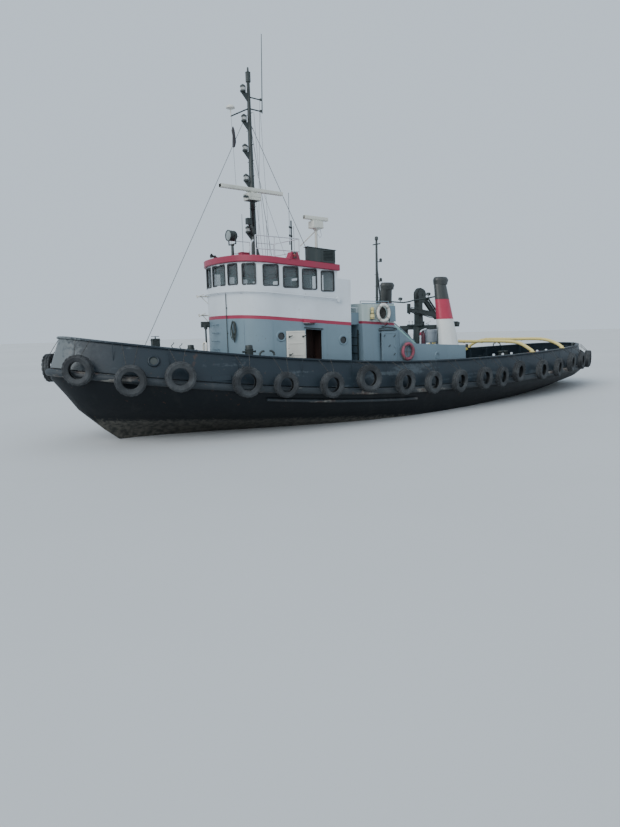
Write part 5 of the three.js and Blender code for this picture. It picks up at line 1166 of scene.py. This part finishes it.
LOCKER_X, LOCKER_Y = -0.65, 1.08
low_deck = 2.64 - 0.05 * 0.65
bin_rings = [oval_ring(bin_body, LOCKER_X, LOCKER_Y, 0.35 - d, 0.30 - d, z)
             for d, z in ((0.02, low_deck + 0.13), (0, low_deck + 0.15), (0, 3.27), (0.006, 3.3),
                          (0.03, 3.325), (0.12, 3.335))]
lofted(bin_body, bin_rings, True)
for z in (low_deck + 0.2, 3.2):
    x_ring = [oval_ring(bin_body, LOCKER_X, LOCKER_Y, 0.35 + d, 0.30 + d, z + h)
              for d, h in ((-0.004, -0.02), (0.008, -0.016), (0.008, 0.016), (-0.004, 0.02))]
    lofted(bin_body, x_ring)
for a in (-1, 1):
    for b in (-1, 1):
        cube(bin_body, (LOCKER_X + a * 0.2, LOCKER_Y + b * 0.16, low_deck + 0.08), (0.05, 0.05, 0.16))
locker_grey = ship_paint("locker_grey", (0.25, 0.29, 0.33), 0.5, 0.3, 0.5, 0.3, (0.12, 0.11, 0.11))
settle("casing_locker_body", bin_body, locker_grey, "ship", stands_for=("casing_locker",),
       mend=True)
bent_bar(bin_pipe, [(0.12, 1.12, low_deck), (0.12, 1.12, 3.16), (0.09, 1.12, 3.26), (0.0, 1.12, 3.31),
                    (-0.28, 1.1, 3.36)], 0.035, 10)
bent_bar(bin_pipe, [(-0.9, 0.75, 3.56), (-0.6, 0.85, 3.60), (-0.3, 1.0, 3.57), (-0.55, 1.15, 3.72)], 0.02,
         8)
settle("bent_vent_pipe", bin_pipe, white_paint, "ship")
bottle = bmesh.new()
turned(bottle, at(-0.13, 1.066, low_deck), on_end, [(0, 0), (0.085, 0), (0.09, 0.03), (0.09, 0.5),
                                                    (0.065, 0.58), (0.035, 0.6), (0.035, 0.68),
                                                    (0, 0.69)], 20)
bottle_paint = ship_paint("bottle_maroon", (0.10, 0.03, 0.045), 0.3, 0.3, 0.5, 0.1)
settle("gas_bottle", bottle, bottle_paint, "ship")

# Folding crane: boxes of welded plate on a turning post, with hydraulic hoses that run out to the jib,
# and two cylinders with chromed rods, glands and pins. The post's ring is bolted to its base.
CRANE_X, CRANE_Y, JIB_Y = -0.8, 0.2, 0.44
SHOULDER_X, SHOULDER_Z = -0.96, 4.96
ELBOW_X, ELBOW_Z = -2.07, 3.9
JIB_END_X, JIB_END_Z = 0.12, 4.26
for node in ("crane_base", "crane_column", "crane_boom", "crane_jib"):
    plated(node, black_paint, 0.008, 32)
gear = {n: bmesh.new() for n in ("ship", "crane_column", "crane_boom", "crane_jib")}
across_turn = facing(at(0, 1, 0))
for k in range(12):
    a = 2 * math.pi * k / 12
    drum(gear["ship"], at(CRANE_X + 0.215 * math.cos(a), CRANE_Y + 0.215 * math.sin(a), 3.565), on_end,
         0.017, 0.03, sides=6)
for s in (1, -1):
    bent_bar(gear["ship"], [(CRANE_X, CRANE_Y + 0.85 * s, 3.3), (CRANE_X, CRANE_Y + 0.45 * s, 2.9),
                            (CRANE_X, CRANE_Y + 0.24 * s, 2.8)], 0.045, 10)
    cube(gear["ship"], (CRANE_X, CRANE_Y + 0.8 * s, 3.1), (0.2, 0.14, 0.5))
    drum(gear["ship"], at(CRANE_X, CRANE_Y + 0.8 * s, 2.86), on_end, 0.1, 0.06, sides=16)
for k in range(5):
    bent_bar(gear["ship"], [(-0.6, -0.2 + 0.2 * k, 3.55), (-0.6, -0.2 + 0.2 * k, 3.7)], 0.012, 6)
    drum(gear["ship"], at(-0.6, -0.2 + 0.2 * k, 3.72), on_end, 0.022, 0.04, sides=10)
cube(gear["ship"], (-0.6, CRANE_Y, 3.55), (0.14, 0.95, 0.08))
for s in (1, -1):
    drum(gear["crane_column"], at(SHOULDER_X, CRANE_Y + 0.16 * s, SHOULDER_Z), across_turn, 0.06, 0.02,
         sides=20)
    drum(gear["crane_column"], at(-1.08, CRANE_Y + 0.098 * s, 3.66), across_turn, 0.036, 0.014, sides=16)
    cube(gear["crane_column"], (CRANE_X, CRANE_Y + 0.145 * s, 4.1), (0.2, 0.012, 0.9))
crown = [at(-0.64, CRANE_Y, 4.6), at(-0.6, CRANE_Y, 4.85), at(-0.63, CRANE_Y, 5.06),
         at(-0.73, CRANE_Y, 5.19), at(-0.86, CRANE_Y, 5.25), at(-1.0, CRANE_Y, 5.2)]
for dy in (-0.09, -0.03, 0.03, 0.09):
    bent_bar(gear["crane_column"], [p + at(0, dy, 0) for p in crown], 0.02, 8)
bent_bar(gear["crane_column"], [at(-0.63, 0.29, 4.4), at(-0.5, 0.33, 4.6), at(-0.42, 0.34, 4.84),
                                at(-0.46, 0.33, 5.06), at(-0.62, 0.3, 5.18)], 0.018, 8)
boom_way = at(ELBOW_X - SHOULDER_X, 0, ELBOW_Z - SHOULDER_Z).normalized()
boom_up = at(boom_way.z, 0, -boom_way.x)
boom_up = boom_up if boom_up.z > 0 else -boom_up
start_of_boom = at(SHOULDER_X, CRANE_Y, SHOULDER_Z)
for dy in (-0.05, 0.0, 0.05):
    bent_bar(gear["crane_boom"], [start_of_boom + boom_way * t +
                                  boom_up * (0.115 + 0.01 * math.sin(9 * t)) + at(0, dy, 0)
                                  for t in (0.16, 0.4, 0.7, 1.0, 1.3, 1.46)], 0.014, 8)
for t in (0.3, 0.7, 1.1, 1.4):
    cube(gear["crane_boom"], start_of_boom + boom_way * t + boom_up * 0.108, (0.05, 0.15, 0.03),
         Matrix((boom_way, at(0, 1, 0), boom_up)).transposed())
for s, reach in ((1, 0.325), (-1, 0.09)):
    drum(gear["crane_boom"], at(ELBOW_X, CRANE_Y + reach * s, ELBOW_Z), across_turn, 0.062, 0.018, sides=20)
jib_way = at(JIB_END_X - ELBOW_X, 0, JIB_END_Z - ELBOW_Z).normalized()
jib_up = at(-jib_way.z, 0, jib_way.x)
jib_axes = Matrix((jib_way, at(0, 1, 0), jib_up)).transposed()
start_of_jib = at(ELBOW_X, JIB_Y, ELBOW_Z)
cube(gear["crane_jib"], start_of_jib + jib_way * 1.0 + jib_up * 0.115, (1.3, 0.075, 0.075), jib_axes)
bent_bar(gear["crane_jib"], [start_of_jib + jib_way * t + jib_up * h + at(0, 0.03, 0)
                             for t, h in ((1.65, 0.115), (2.12, 0.11))], 0.02, 8)
for t in (0.36, 1.0, 1.62):
    cube(gear["crane_jib"], start_of_jib + jib_way * t + jib_up * 0.09, (0.06, 0.135, 0.14), jib_axes)
for dy in (-0.035, 0.035):
    bent_bar(gear["crane_jib"], [start_of_jib + jib_way * t - jib_up * h + at(0, dy, 0)
                                 for t, h in ((0.25, 0.09), (0.7, 0.12), (1.2, 0.1), (1.7, 0.14),
                                              (2.1, 0.08))], 0.013, 8)
tip = at(JIB_END_X, JIB_Y, JIB_END_Z)
for s in (1, -1):
    cube(gear["crane_jib"], tip + at(0.01, 0.058 * s, 0.04), (0.1, 0.014, 0.42))
    drum(gear["crane_jib"], tip + at(0.0, 0.066 * s, 0.0), across_turn, 0.035, 0.02, sides=14)
for body, bm in gear.items():
    settle(body + "_crane_gear", bm, black_paint, body, bevel=0.004)
chrome = Finish("cylinder_rod_chrome", 0.18, 1.0)
rub = chrome.noise(14.0, 4.0, (1.0, 1.0, 0.3))
chrome.feed("Base Color", chrome.mix(rub.soft(0.4, 0.7), (0.55, 0.56, 0.57), (0.40, 0.41, 0.42)))
chrome.feed("Roughness", 0.12 + rub * 0.18)
for name, base, eye in (("boom_cylinder", at(-1.08, CRANE_Y, 3.66), at(-1.01436, CRANE_Y, 4.61116)),
                        ("jib_cylinder", at(-1.35733, 0.327, 4.76754), at(-2.0651, 0.327, 4.0799))):
    plated(name + "_barrel", black_paint, 0.002, 40)
    plated(name + "_rod", chrome, 0.002, 40)
    way = (eye - base).normalized()
    along = facing(way, at(0, 1, 0))
    gland = bmesh.new()
    end = base + way * ((eye - base).length - 0.052 - 0.026)
    hoop(gland, end - way * 0.03, along, 0.041, 0.006, 24, 6, 3.0)
    hoop(gland, base + way * 0.09, along, 0.041, 0.005, 24, 6, 2.0)
    for share in (0.2, 0.75):
        port = base + (end - base) * share
        drum(gland, port + way.cross(at(0, 1, 0)) * 0.05, facing(way.cross(at(0, 1, 0)), way), 0.012,
             0.03, sides=8)
    settle(name + "_glands", gland, black_paint, name + "_barrel")

# Aft mast: a dark steel pole with a raking leg and steps, a lamp at its head and two more on brackets
# that are welded behind it.
plated("aft_mast", black_paint, 0.004, 40)
pole = bmesh.new()
turned(pole, at(1.72, 0, 7.27), on_end, [(0, 0), (0.06, 0.0), (0.075, 0.02), (0.075, 0.12), (0.05, 0.16),
                                         (0, 0.165)], 18)
for z in (6.35, 5.5):
    bent_bar(pole, [(1.72, 0, z), (1.5, 0, z + 0.01)], 0.018, 6)
    turned(pole, at(1.47, 0, z), on_end, [(0, 0), (0.06, 0.0), (0.06, 0.13), (0.03, 0.16), (0, 0.165)], 16)
for k in range(6):
    bent_bar(pole, [(1.72, -0.13, 3.3 + 0.5 * k), (1.72, 0.13, 3.3 + 0.5 * k)], 0.011, 6)
settle("aft_mast_gear", pole, black_paint, "ship", bevel=0.003)

# Stays: galvanised wire from the main mast to the foredeck and to the roof's after corners, each set
# up with a bottle screw at its foot.
wire = mottled("stay_wire", 0.5, 7.0, (0.10, 0.105, 0.11), (0.26, 0.265, 0.265), metallic=0.6)
for node in ("forestay", "port_backstay", "starboard_backstay"):
    plated(node, wire, 0.0, 60)
screws = bmesh.new()
for foot, head in ((at(13.32, 0, deck_height(13.32)), at(8.48, 0, 10.965)),
                   (at(6.35, 1.3, roof_height(6.35)), at(8.16, 0.01, 10.95)),
                   (at(6.35, -1.3, roof_height(6.35)), at(8.16, -0.01, 10.95))):
    way = (head - foot).normalized()
    along = facing(way, at(0, 1, 0))
    drum(screws, foot + way * 0.28, along, 0.024, 0.26, sides=10)
    for reach in (0.14, 0.42):
        drum(screws, foot + way * reach, along, 0.016, 0.05, sides=8)
    cube(screws, foot + lift(0.02), (0.12, 0.03, 0.08))
settle("bottle_screws", screws, wire, "ship", bevel=0.002)

# Tow beams: steel pipe bent over the after deck to carry the towline clear of it, thick with chipped
# yellow paint, on a round flange at each foot.
yellow_paint = ship_paint("tow_yellow", (0.62, 0.52, 0.20), 0.25, 0.35, 0.5, 0.3, (0.2, 0.17, 0.1))


def through(points, steps):
    """A smooth path through points, evenly eased from one to the next."""
    path = [points[0] * 2 - points[1]] + points + [points[-1] * 2 - points[-2]]
    knots = [0.0]
    for a, b in zip(path, path[1:]):
        knots.append(knots[-1] + max((b - a).length, 1e-6) ** 0.5)
    out = []
    for i in range(1, len(path) - 2):
        for step in range(steps):
            t = knots[i] + (knots[i + 1] - knots[i]) * step / steps
            row, span = list(zip(path[i - 1:i + 3], knots[i - 1:i + 3])), 1
            spots, marks = [p for p, _ in row], [k for _, k in row]
            while len(spots) > 1:
                spots = [(spots[j] * (marks[j + span] - t) +
                          spots[j + 1] * (t - marks[j])) / (marks[j + span] - marks[j])
                         for j in range(len(spots) - 1)]
                span += 1
            out.append(spots[0])
    return out + [points[-1]]


beam_gear = bmesh.new()
for node, x, spread, rise in (("forward_tow_beam", -5.25, 2.0, 0.52), ("aft_tow_beam", -8.85, 1.7, 0.48)):
    foot_y = half_breadth(x) - 0.32 - 0.03
    low, top = deck_height(x) + 0.95 + 0.06, deck_height(x) + 0.95 + rise
    half = [(foot_y, low), (foot_y - 0.26, low + 0.16), (foot_y - 0.7, top - 0.09), (spread, top)]
    points = [at(x, y, z) for y, z in half] + [at(x, 0, top)] + [at(x, -y, z) for y, z in half[::-1]]
    arch = bmesh.new()
    bent_bar(arch, [points[0] - lift(0.085)] + through(points, 5) + [points[-1] - lift(0.085)], 0.08, 18)
    settle(node + "_pipe", arch, yellow_paint, "ship", 50, stands_for=(node,))
    for s in (1, -1):
        drum(beam_gear, at(x, foot_y * s, low - 0.035), on_end, 0.13, 0.03, sides=24)
        for y in (spread * s, 0.55 * s):
            ring_turn = facing(at(0, 1, 0))
            hoop(beam_gear, at(x, y, top), ring_turn, 0.083, 0.01, 24, 6, 2.0)
settle("tow_beam_flanges", beam_gear, yellow_paint, "ship")

# Tow hook: a forged hook, yellow with a black tip, pinned in a stand of heavy black plate that is
# braced on both sides down to the deck.
hook_paint = ship_paint("hook_yellow", (0.50, 0.44, 0.10), 0.3, 0.5, 0.5, 0.3)
tip_black = (hook_paint.x * -1.0 + hook_paint.z * 1.5).over(8.22)
hook_paint.feed("Base Color", hook_paint.mix(tip_black, hook_paint.colour, (0.03, 0.032, 0.03)))
plated("tow_hook", hook_paint, 0.018, 34)
plated("tow_hook_stand", black_paint, 0.01, 32)
hook_gear = bmesh.new()
drum(hook_gear, at(-3.99, 0, 2.44), on_end, 0.085, 0.05, sides=20)
drum(hook_gear, at(-3.99, 0, 2.08), on_end, 0.085, 0.05, sides=20)
for s in (1, -1):
    stand_foot = [hook_gear.verts.new(p) for p in ((-3.88, 0.28 * s, 1.25), (-3.4, 0.28 * s, 1.25),
                                                   (-3.05, 0.28 * s, 1.25), (-3.4, 0.28 * s, 2.2))]
    face = hook_gear.faces.new(stand_foot)
    grown = bmesh.ops.extrude_face_region(hook_gear, geom=[face])["geom"]
    bmesh.ops.translate(hook_gear, verts=[v for v in grown if isinstance(v, bmesh.types.BMVert)],
                        vec=(0, 0.03 * s, 0))
settle("hook_stand_gear", hook_gear, black_paint, "ship", bevel=0.004, mend=True)

# Bollards: forward a tall single steel post with a pin across it on each side, aft a pair of cast
# posts with mushroom heads on each side, all on bed plates welded to the deck.
POST_X, POST_Y = 9.95, 2.05
for node, side in (("port_fore_bollard", 1), ("starboard_fore_bollard", -1)):
    post, z = bmesh.new(), deck_height(POST_X)
    cube(post, (POST_X, POST_Y * side, z - 0.02), (0.62, 0.5, 0.16))
    turned(post, at(POST_X, POST_Y * side, z), on_end, [(0.19, 0.055), (0.155, 0.09), (0.148, 0.14),
                                                        (0.142, 1.14), (0.15, 1.15), (0.15, 1.17),
                                                        (0.125, 1.18), (0.125, 1.28), (0.115, 1.3),
                                                        (0.05, 1.31), (0, 1.31)], 36)
    bent_bar(post, [(9.7, POST_Y * side, z + 1.08), (10.2, POST_Y * side, z + 1.08)], 0.03, 12)
    for x in (9.7, 10.2):
        drum(post, at(x, POST_Y * side, z + 1.08), facing(at(1, 0, 0)), 0.042, 0.02, sides=16)
    settle(node + "_post", post, black_paint, "ship", 40, 0.006, (node,))
for node, x, y, tall, spacing in (("port_aft_bollard", -11.0, 2.05, 0.62, 0.52),
                                  ("starboard_aft_bollard", -11.0, -2.05, 0.62, 0.52)):
    pair, z = bmesh.new(), deck_height(x)
    cube(pair, (x, y, z - 0.01), (spacing + 0.52, 0.42, 0.14))
    for s in (-1, 1):
        turned(pair, at(x + s * spacing / 2, y, z), on_end, [(0.15, 0.055), (0.13, 0.09), (0.125, 0.14),
                (0.125, tall - 0.12), (0.132, tall - 0.09), (0.155, tall - 0.065), (0.165, tall - 0.05),
                (0.165, tall), (0.15, tall + 0.02), (0.10, tall + 0.028), (0, tall + 0.03)], 32)
    settle(node + "_posts", pair, black_paint, "ship", 40, 0.008, (node,))

# Windlass: a steel drum with rope turns between plate cheeks, a gear case, a hand brake on its column
# and a warping head on each side, all bolted to the foredeck.
rope_pale = Finish("hawser", 0.9)
strand = rope_pale.noise(9.0, 4.0, (1.0, 1.0, 1.0))
rope_pale.feed("Base Color", rope_pale.mix(strand.soft(0.35, 0.7), (0.30, 0.27, 0.21), (0.17, 0.15, 0.115)))
rope_pale.bump(rope_pale.noise(45.0, 2.0), 0.5, 0.006)
plated("windlass_frame", black_paint, 0.01, 32)
WINDLASS_X, BRAKE_X, BRAKE_Y = 12.25, 12.12, -0.56
windlass_deck = deck_height(WINDLASS_X)
axle = at(WINDLASS_X, 0, windlass_deck + 0.56)
barrel, turns, wind_gear = bmesh.new(), bmesh.new(), bmesh.new()
turned(barrel, axle - at(0, 0.4795, 0), across_turn, [(0.05, 0), (0.29, 0), (0.3, 0.01), (0.3, 0.035),
                                                      (0.29, 0.045), (0.195, 0.047), (0.19, 0.06),
                                                      (0.19, 0.899), (0.195, 0.912), (0.29, 0.914),
                                                      (0.3, 0.924), (0.3, 0.949), (0.29, 0.959),
                                                      (0.05, 0.959)], 40)
settle("windlass_barrel", barrel, black_paint, "windlass_drum", 35,
       stands_for=("windlass_drum",))
for k in range(15):
    hoop(turns, axle + at(0, -0.36 + 0.0515 * k, 0), across_turn, 0.212, 0.0255, 32, 8)
settle("hawser_turns", turns, rope_pale, "windlass_drum")
for s in (1, -1):
    turned(wind_gear, axle + at(0, 0.562 * s, 0), facing(at(0, s, 0)), [(0.07, 0), (0.07, 0.05),
            (0.16, 0.06), (0.17, 0.09), (0.11, 0.13), (0.10, 0.2), (0.11, 0.26), (0.16, 0.3),
            (0.165, 0.33), (0.03, 0.335), (0, 0.335)], 28)
    drum(wind_gear, axle + at(0, 0.52 * s, 0.0), across_turn, 0.11, 0.1, sides=24)
cube(wind_gear, (12.62, 0.0, windlass_deck + 0.28), (0.26, 0.5, 0.34))
cube(wind_gear, (12.46, 0.36, windlass_deck + 0.42), (0.42, 0.1, 0.62))
drum(wind_gear, at(12.62, 0.0, windlass_deck + 0.5), across_turn, 0.13, 0.46, sides=24)
brake_top = windlass_deck + 1.33
for z in (brake_top - 0.55, brake_top - 0.3, brake_top - 0.06):
    cube(wind_gear, (BRAKE_X, BRAKE_Y, z), (0.3, 0.18, 0.03))
bent_bar(wind_gear, [(BRAKE_X, BRAKE_Y, brake_top), (BRAKE_X, BRAKE_Y, brake_top + 0.07)], 0.022, 8)
hoop(wind_gear, at(BRAKE_X, BRAKE_Y, brake_top + 0.07), on_end, 0.13, 0.012, 24, 6)
bent_bar(wind_gear, [(BRAKE_X, BRAKE_Y + 0.13 * s, brake_top + 0.07) for s in (-1, 1)], 0.009, 6)
settle("windlass_gear", wind_gear, black_paint, "ship", 35, 0.006, mend=True)

# Foredeck box and after hatch: boxes of welded plate with lids that turn over their edges. The box has
# clips and a handle, and the hatch has two ribs, a grip and four screw clamps.
plated("foredeck_box", grey_paint, 0.012, 30)
clips = bmesh.new()
box_top = deck_height(11.05) + 0.56
for s in (1, -1):
    cube(clips, (11.05, 0.424 * s, box_top - 0.1), (0.73, 0.012, 0.025))
    for x in (10.85, 11.25):
        cube(clips, (x, 0.43 * s, box_top - 0.13), (0.05, 0.02, 0.13))
cube(clips, (11.416, 0, box_top - 0.1), (0.012, 0.84, 0.025))
cube(clips, (10.684, 0, box_top - 0.1), (0.012, 0.84, 0.025))
bent_bar(clips, [(11.42, -0.1, box_top - 0.3), (11.46, -0.1, box_top - 0.3), (11.46, 0.1, box_top - 0.3),
                 (11.42, 0.1, box_top - 0.3)], 0.012, 8)
settle("foredeck_box_clips", clips, grey_paint, "ship", bevel=0.002)
plated("aft_hatch_coaming", red_paint, 0.008, 30)
plated("aft_hatch_lid", red_paint, 0.012, 34)
HATCH_X = -11.9
lid_z = deck_height(HATCH_X) + 0.46 + 0.05
lid_gear, wing_nuts = bmesh.new(), bmesh.new()
bent_bar(lid_gear, [(-11.5, -0.18, lid_z), (-11.5, -0.18, lid_z + 0.08), (-11.5, 0.18, lid_z + 0.08),
                    (-11.5, 0.18, lid_z)], 0.014, 8)
cube(lid_gear, (HATCH_X, 0, lid_z + 0.006), (0.9, 0.05, 0.014))
cube(lid_gear, (HATCH_X, 0, lid_z + 0.006), (0.05, 1.1, 0.014))
settle("hatch_lid_gear", lid_gear, red_paint, "aft_hatch_lid", bevel=0.003)
for x, y in ((-11.55, 0.66), (-12.2, 0.66), (-11.55, -0.66), (-12.2, -0.66)):
    bent_bar(wing_nuts, [(x, y, lid_z - 0.28), (x, y + 0.012 * (1 if y > 0 else -1), lid_z + 0.03)],
             0.011, 8)
    cube(wing_nuts, (x, y, lid_z - 0.3), (0.06, 0.07, 0.05))
settle("hatch_clips", wing_nuts, black_paint, "ship", bevel=0.002)

# Under water and indoors: a plate rudder, a cast bronze propeller, the engine as one plain block and
# the helm's console. They keep the form of the solids and get their finish here.
rudder_paint = ship_paint("underwater_paint", (0.10, 0.045, 0.035), 0.5, 0.7, 0.7, 0.5, (0.06, 0.065, 0.05))
plated("rudder", rudder_paint, 0.02, 34)
bronze = Finish("propeller_bronze", 0.4, 0.9)
patina = bronze.noise(2.5, 6.0)
bronze.feed("Base Color", bronze.mix(patina.soft(0.35, 0.65), (0.34, 0.22, 0.09), (0.13, 0.12, 0.075)))
bronze.feed("Roughness", 0.3 + patina * 0.35)
bronze.bump(bronze.noise(18.0), 0.2, 0.006)
plated("propeller", bronze, 0.0, 45)
plated("engine_block", grey_paint, 0.03, 32)
console_paint = mottled("console_black", 0.6, 4.0, (0.03, 0.032, 0.034), (0.06, 0.06, 0.058), (0.4, 0.6))
plated("helm_console", console_paint, 0.01, 32)

# Rail gear: a cast ring in the bow plating and plate flaps over the freeing ports on each side, curved
# iron horns where ropes lead over the cap, and two S-hooks on the port cap.
rail_gear, worn_gear = bmesh.new(), bmesh.new()


def bulwark_spot(x, side):
    """The foot of the leaning plate, the way up along it and the way out of it."""
    foot, outward = edge_spot(x, side)
    lean_up = (-outward * 0.32 + lift(0.9)).normalized()
    return foot, lean_up, (outward * 0.94 + lift(0.334)).normalized()


for side in (1, -1):
    foot, lean_up, face_out = bulwark_spot(13.54, side)
    spot, turn = foot + lean_up * 0.52, facing(face_out, lean_up)
    hoop(worn_gear, spot + face_out * 0.012, turn, 0.15, 0.036, 28, 8)
    drum(rail_gear, spot + face_out * 0.004, turn, 0.13, 0.01, sides=28)
    for x in (12.97, 12.73) if side > 0 else ():
        foot, outward = edge_spot(x, side)
        top = foot - outward * 0.36 + lift(0.96)
        curl = [top + facing(outward).col[0] * 0.04 * math.sin(a) + lift(0.029 * a)
                for a in (0, 0.7, 1.4, 2.1, 2.8, 3.5, 4.2, 4.9, 5.4)]
        bent_bar(rail_gear, curl, 0.012, 8)
    for x in (11.6, 4.2, -3.0, -8.0):
        foot, lean_up, face_out = bulwark_spot(x, side)
        cube(worn_gear, foot + lean_up * 0.14 + face_out * 0.004, (0.62, 0.01, 0.16),
             facing(face_out, lean_up))
    for x in (9.95, -11.0):
        foot, outward = edge_spot(x, side)
        cap = foot - outward * 0.36 + lift(0.955)
        along = facing(outward).col[0]
        for s in (1, -1):
            bent_bar(rail_gear, [cap + along * 0.26 * s, cap + along * 0.25 * s + lift(0.09),
                                 cap + along * 0.17 * s + lift(0.15),
                                 cap + along * 0.1 * s + lift(0.155)], 0.035, 10)
settle("rail_fittings", rail_gear, black_paint, "ship", bevel=0.003, mend=True)
settle("hawse_rings_and_flaps", worn_gear, bulwark_paint, "ship", mend=True)

# Loose gear of the decks: coils of rope, one of them by the windlass, and on the after deck two cast
# capstans, a plate box on each side and short white vents, which stand behind the rail.
deck_dark, deck_white, coils = bmesh.new(), bmesh.new(), bmesh.new()
for x, y, radius in ((-6.4, 2.6, 0.42), (-7.6, 2.45, 0.36), (-6.9, -2.5, 0.42), (-2.6, 2.9, 0.3),
                     (12.9, 1.2, 0.3)):
    for k in range(9):
        ring_r = radius - 0.055 * (k % 3)
        hoop(coils, at(x, y, deck_height(x) + 0.035 + 0.052 * (k // 3)), on_end, ring_r, 0.027, 28, 6)
settle("rope_coils", coils, rope_pale, "ship")
for x, y in ((-5.9, 1.3), (-7.1, 0.9)):
    turned(deck_dark, at(x, y, deck_height(x)), on_end, [(0.24, 0), (0.25, 0.05), (0.17, 0.1),
                                                         (0.14, 0.3), (0.15, 0.48), (0.22, 0.56),
                                                         (0.23, 0.62), (0.1, 0.66), (0, 0.66)], 28)
for s in (1, -1):
    cube(deck_dark, (-4.6, 2.4 * s, deck_height(-4.6) + 0.3), (0.9, 0.6, 0.62))
    cube(deck_dark, (-4.6, 2.4 * s, deck_height(-4.6) + 0.625), (0.96, 0.66, 0.04))
    for x in (-2.6, -3.3, -4.0, -6.2, -7.0):
        turned(deck_white, at(x, 3.1 * s, deck_height(x)), on_end, [(0.07, 0), (0.07, 0.02),
                (0.035, 0.03), (0.035, 0.9), (0.055, 0.92), (0.055, 1.0), (0, 1.01)], 14)
settle("after_deck_gear", deck_dark, black_paint, "ship", 35, 0.006, mend=True)
settle("after_deck_vents", deck_white, white_paint, "ship")
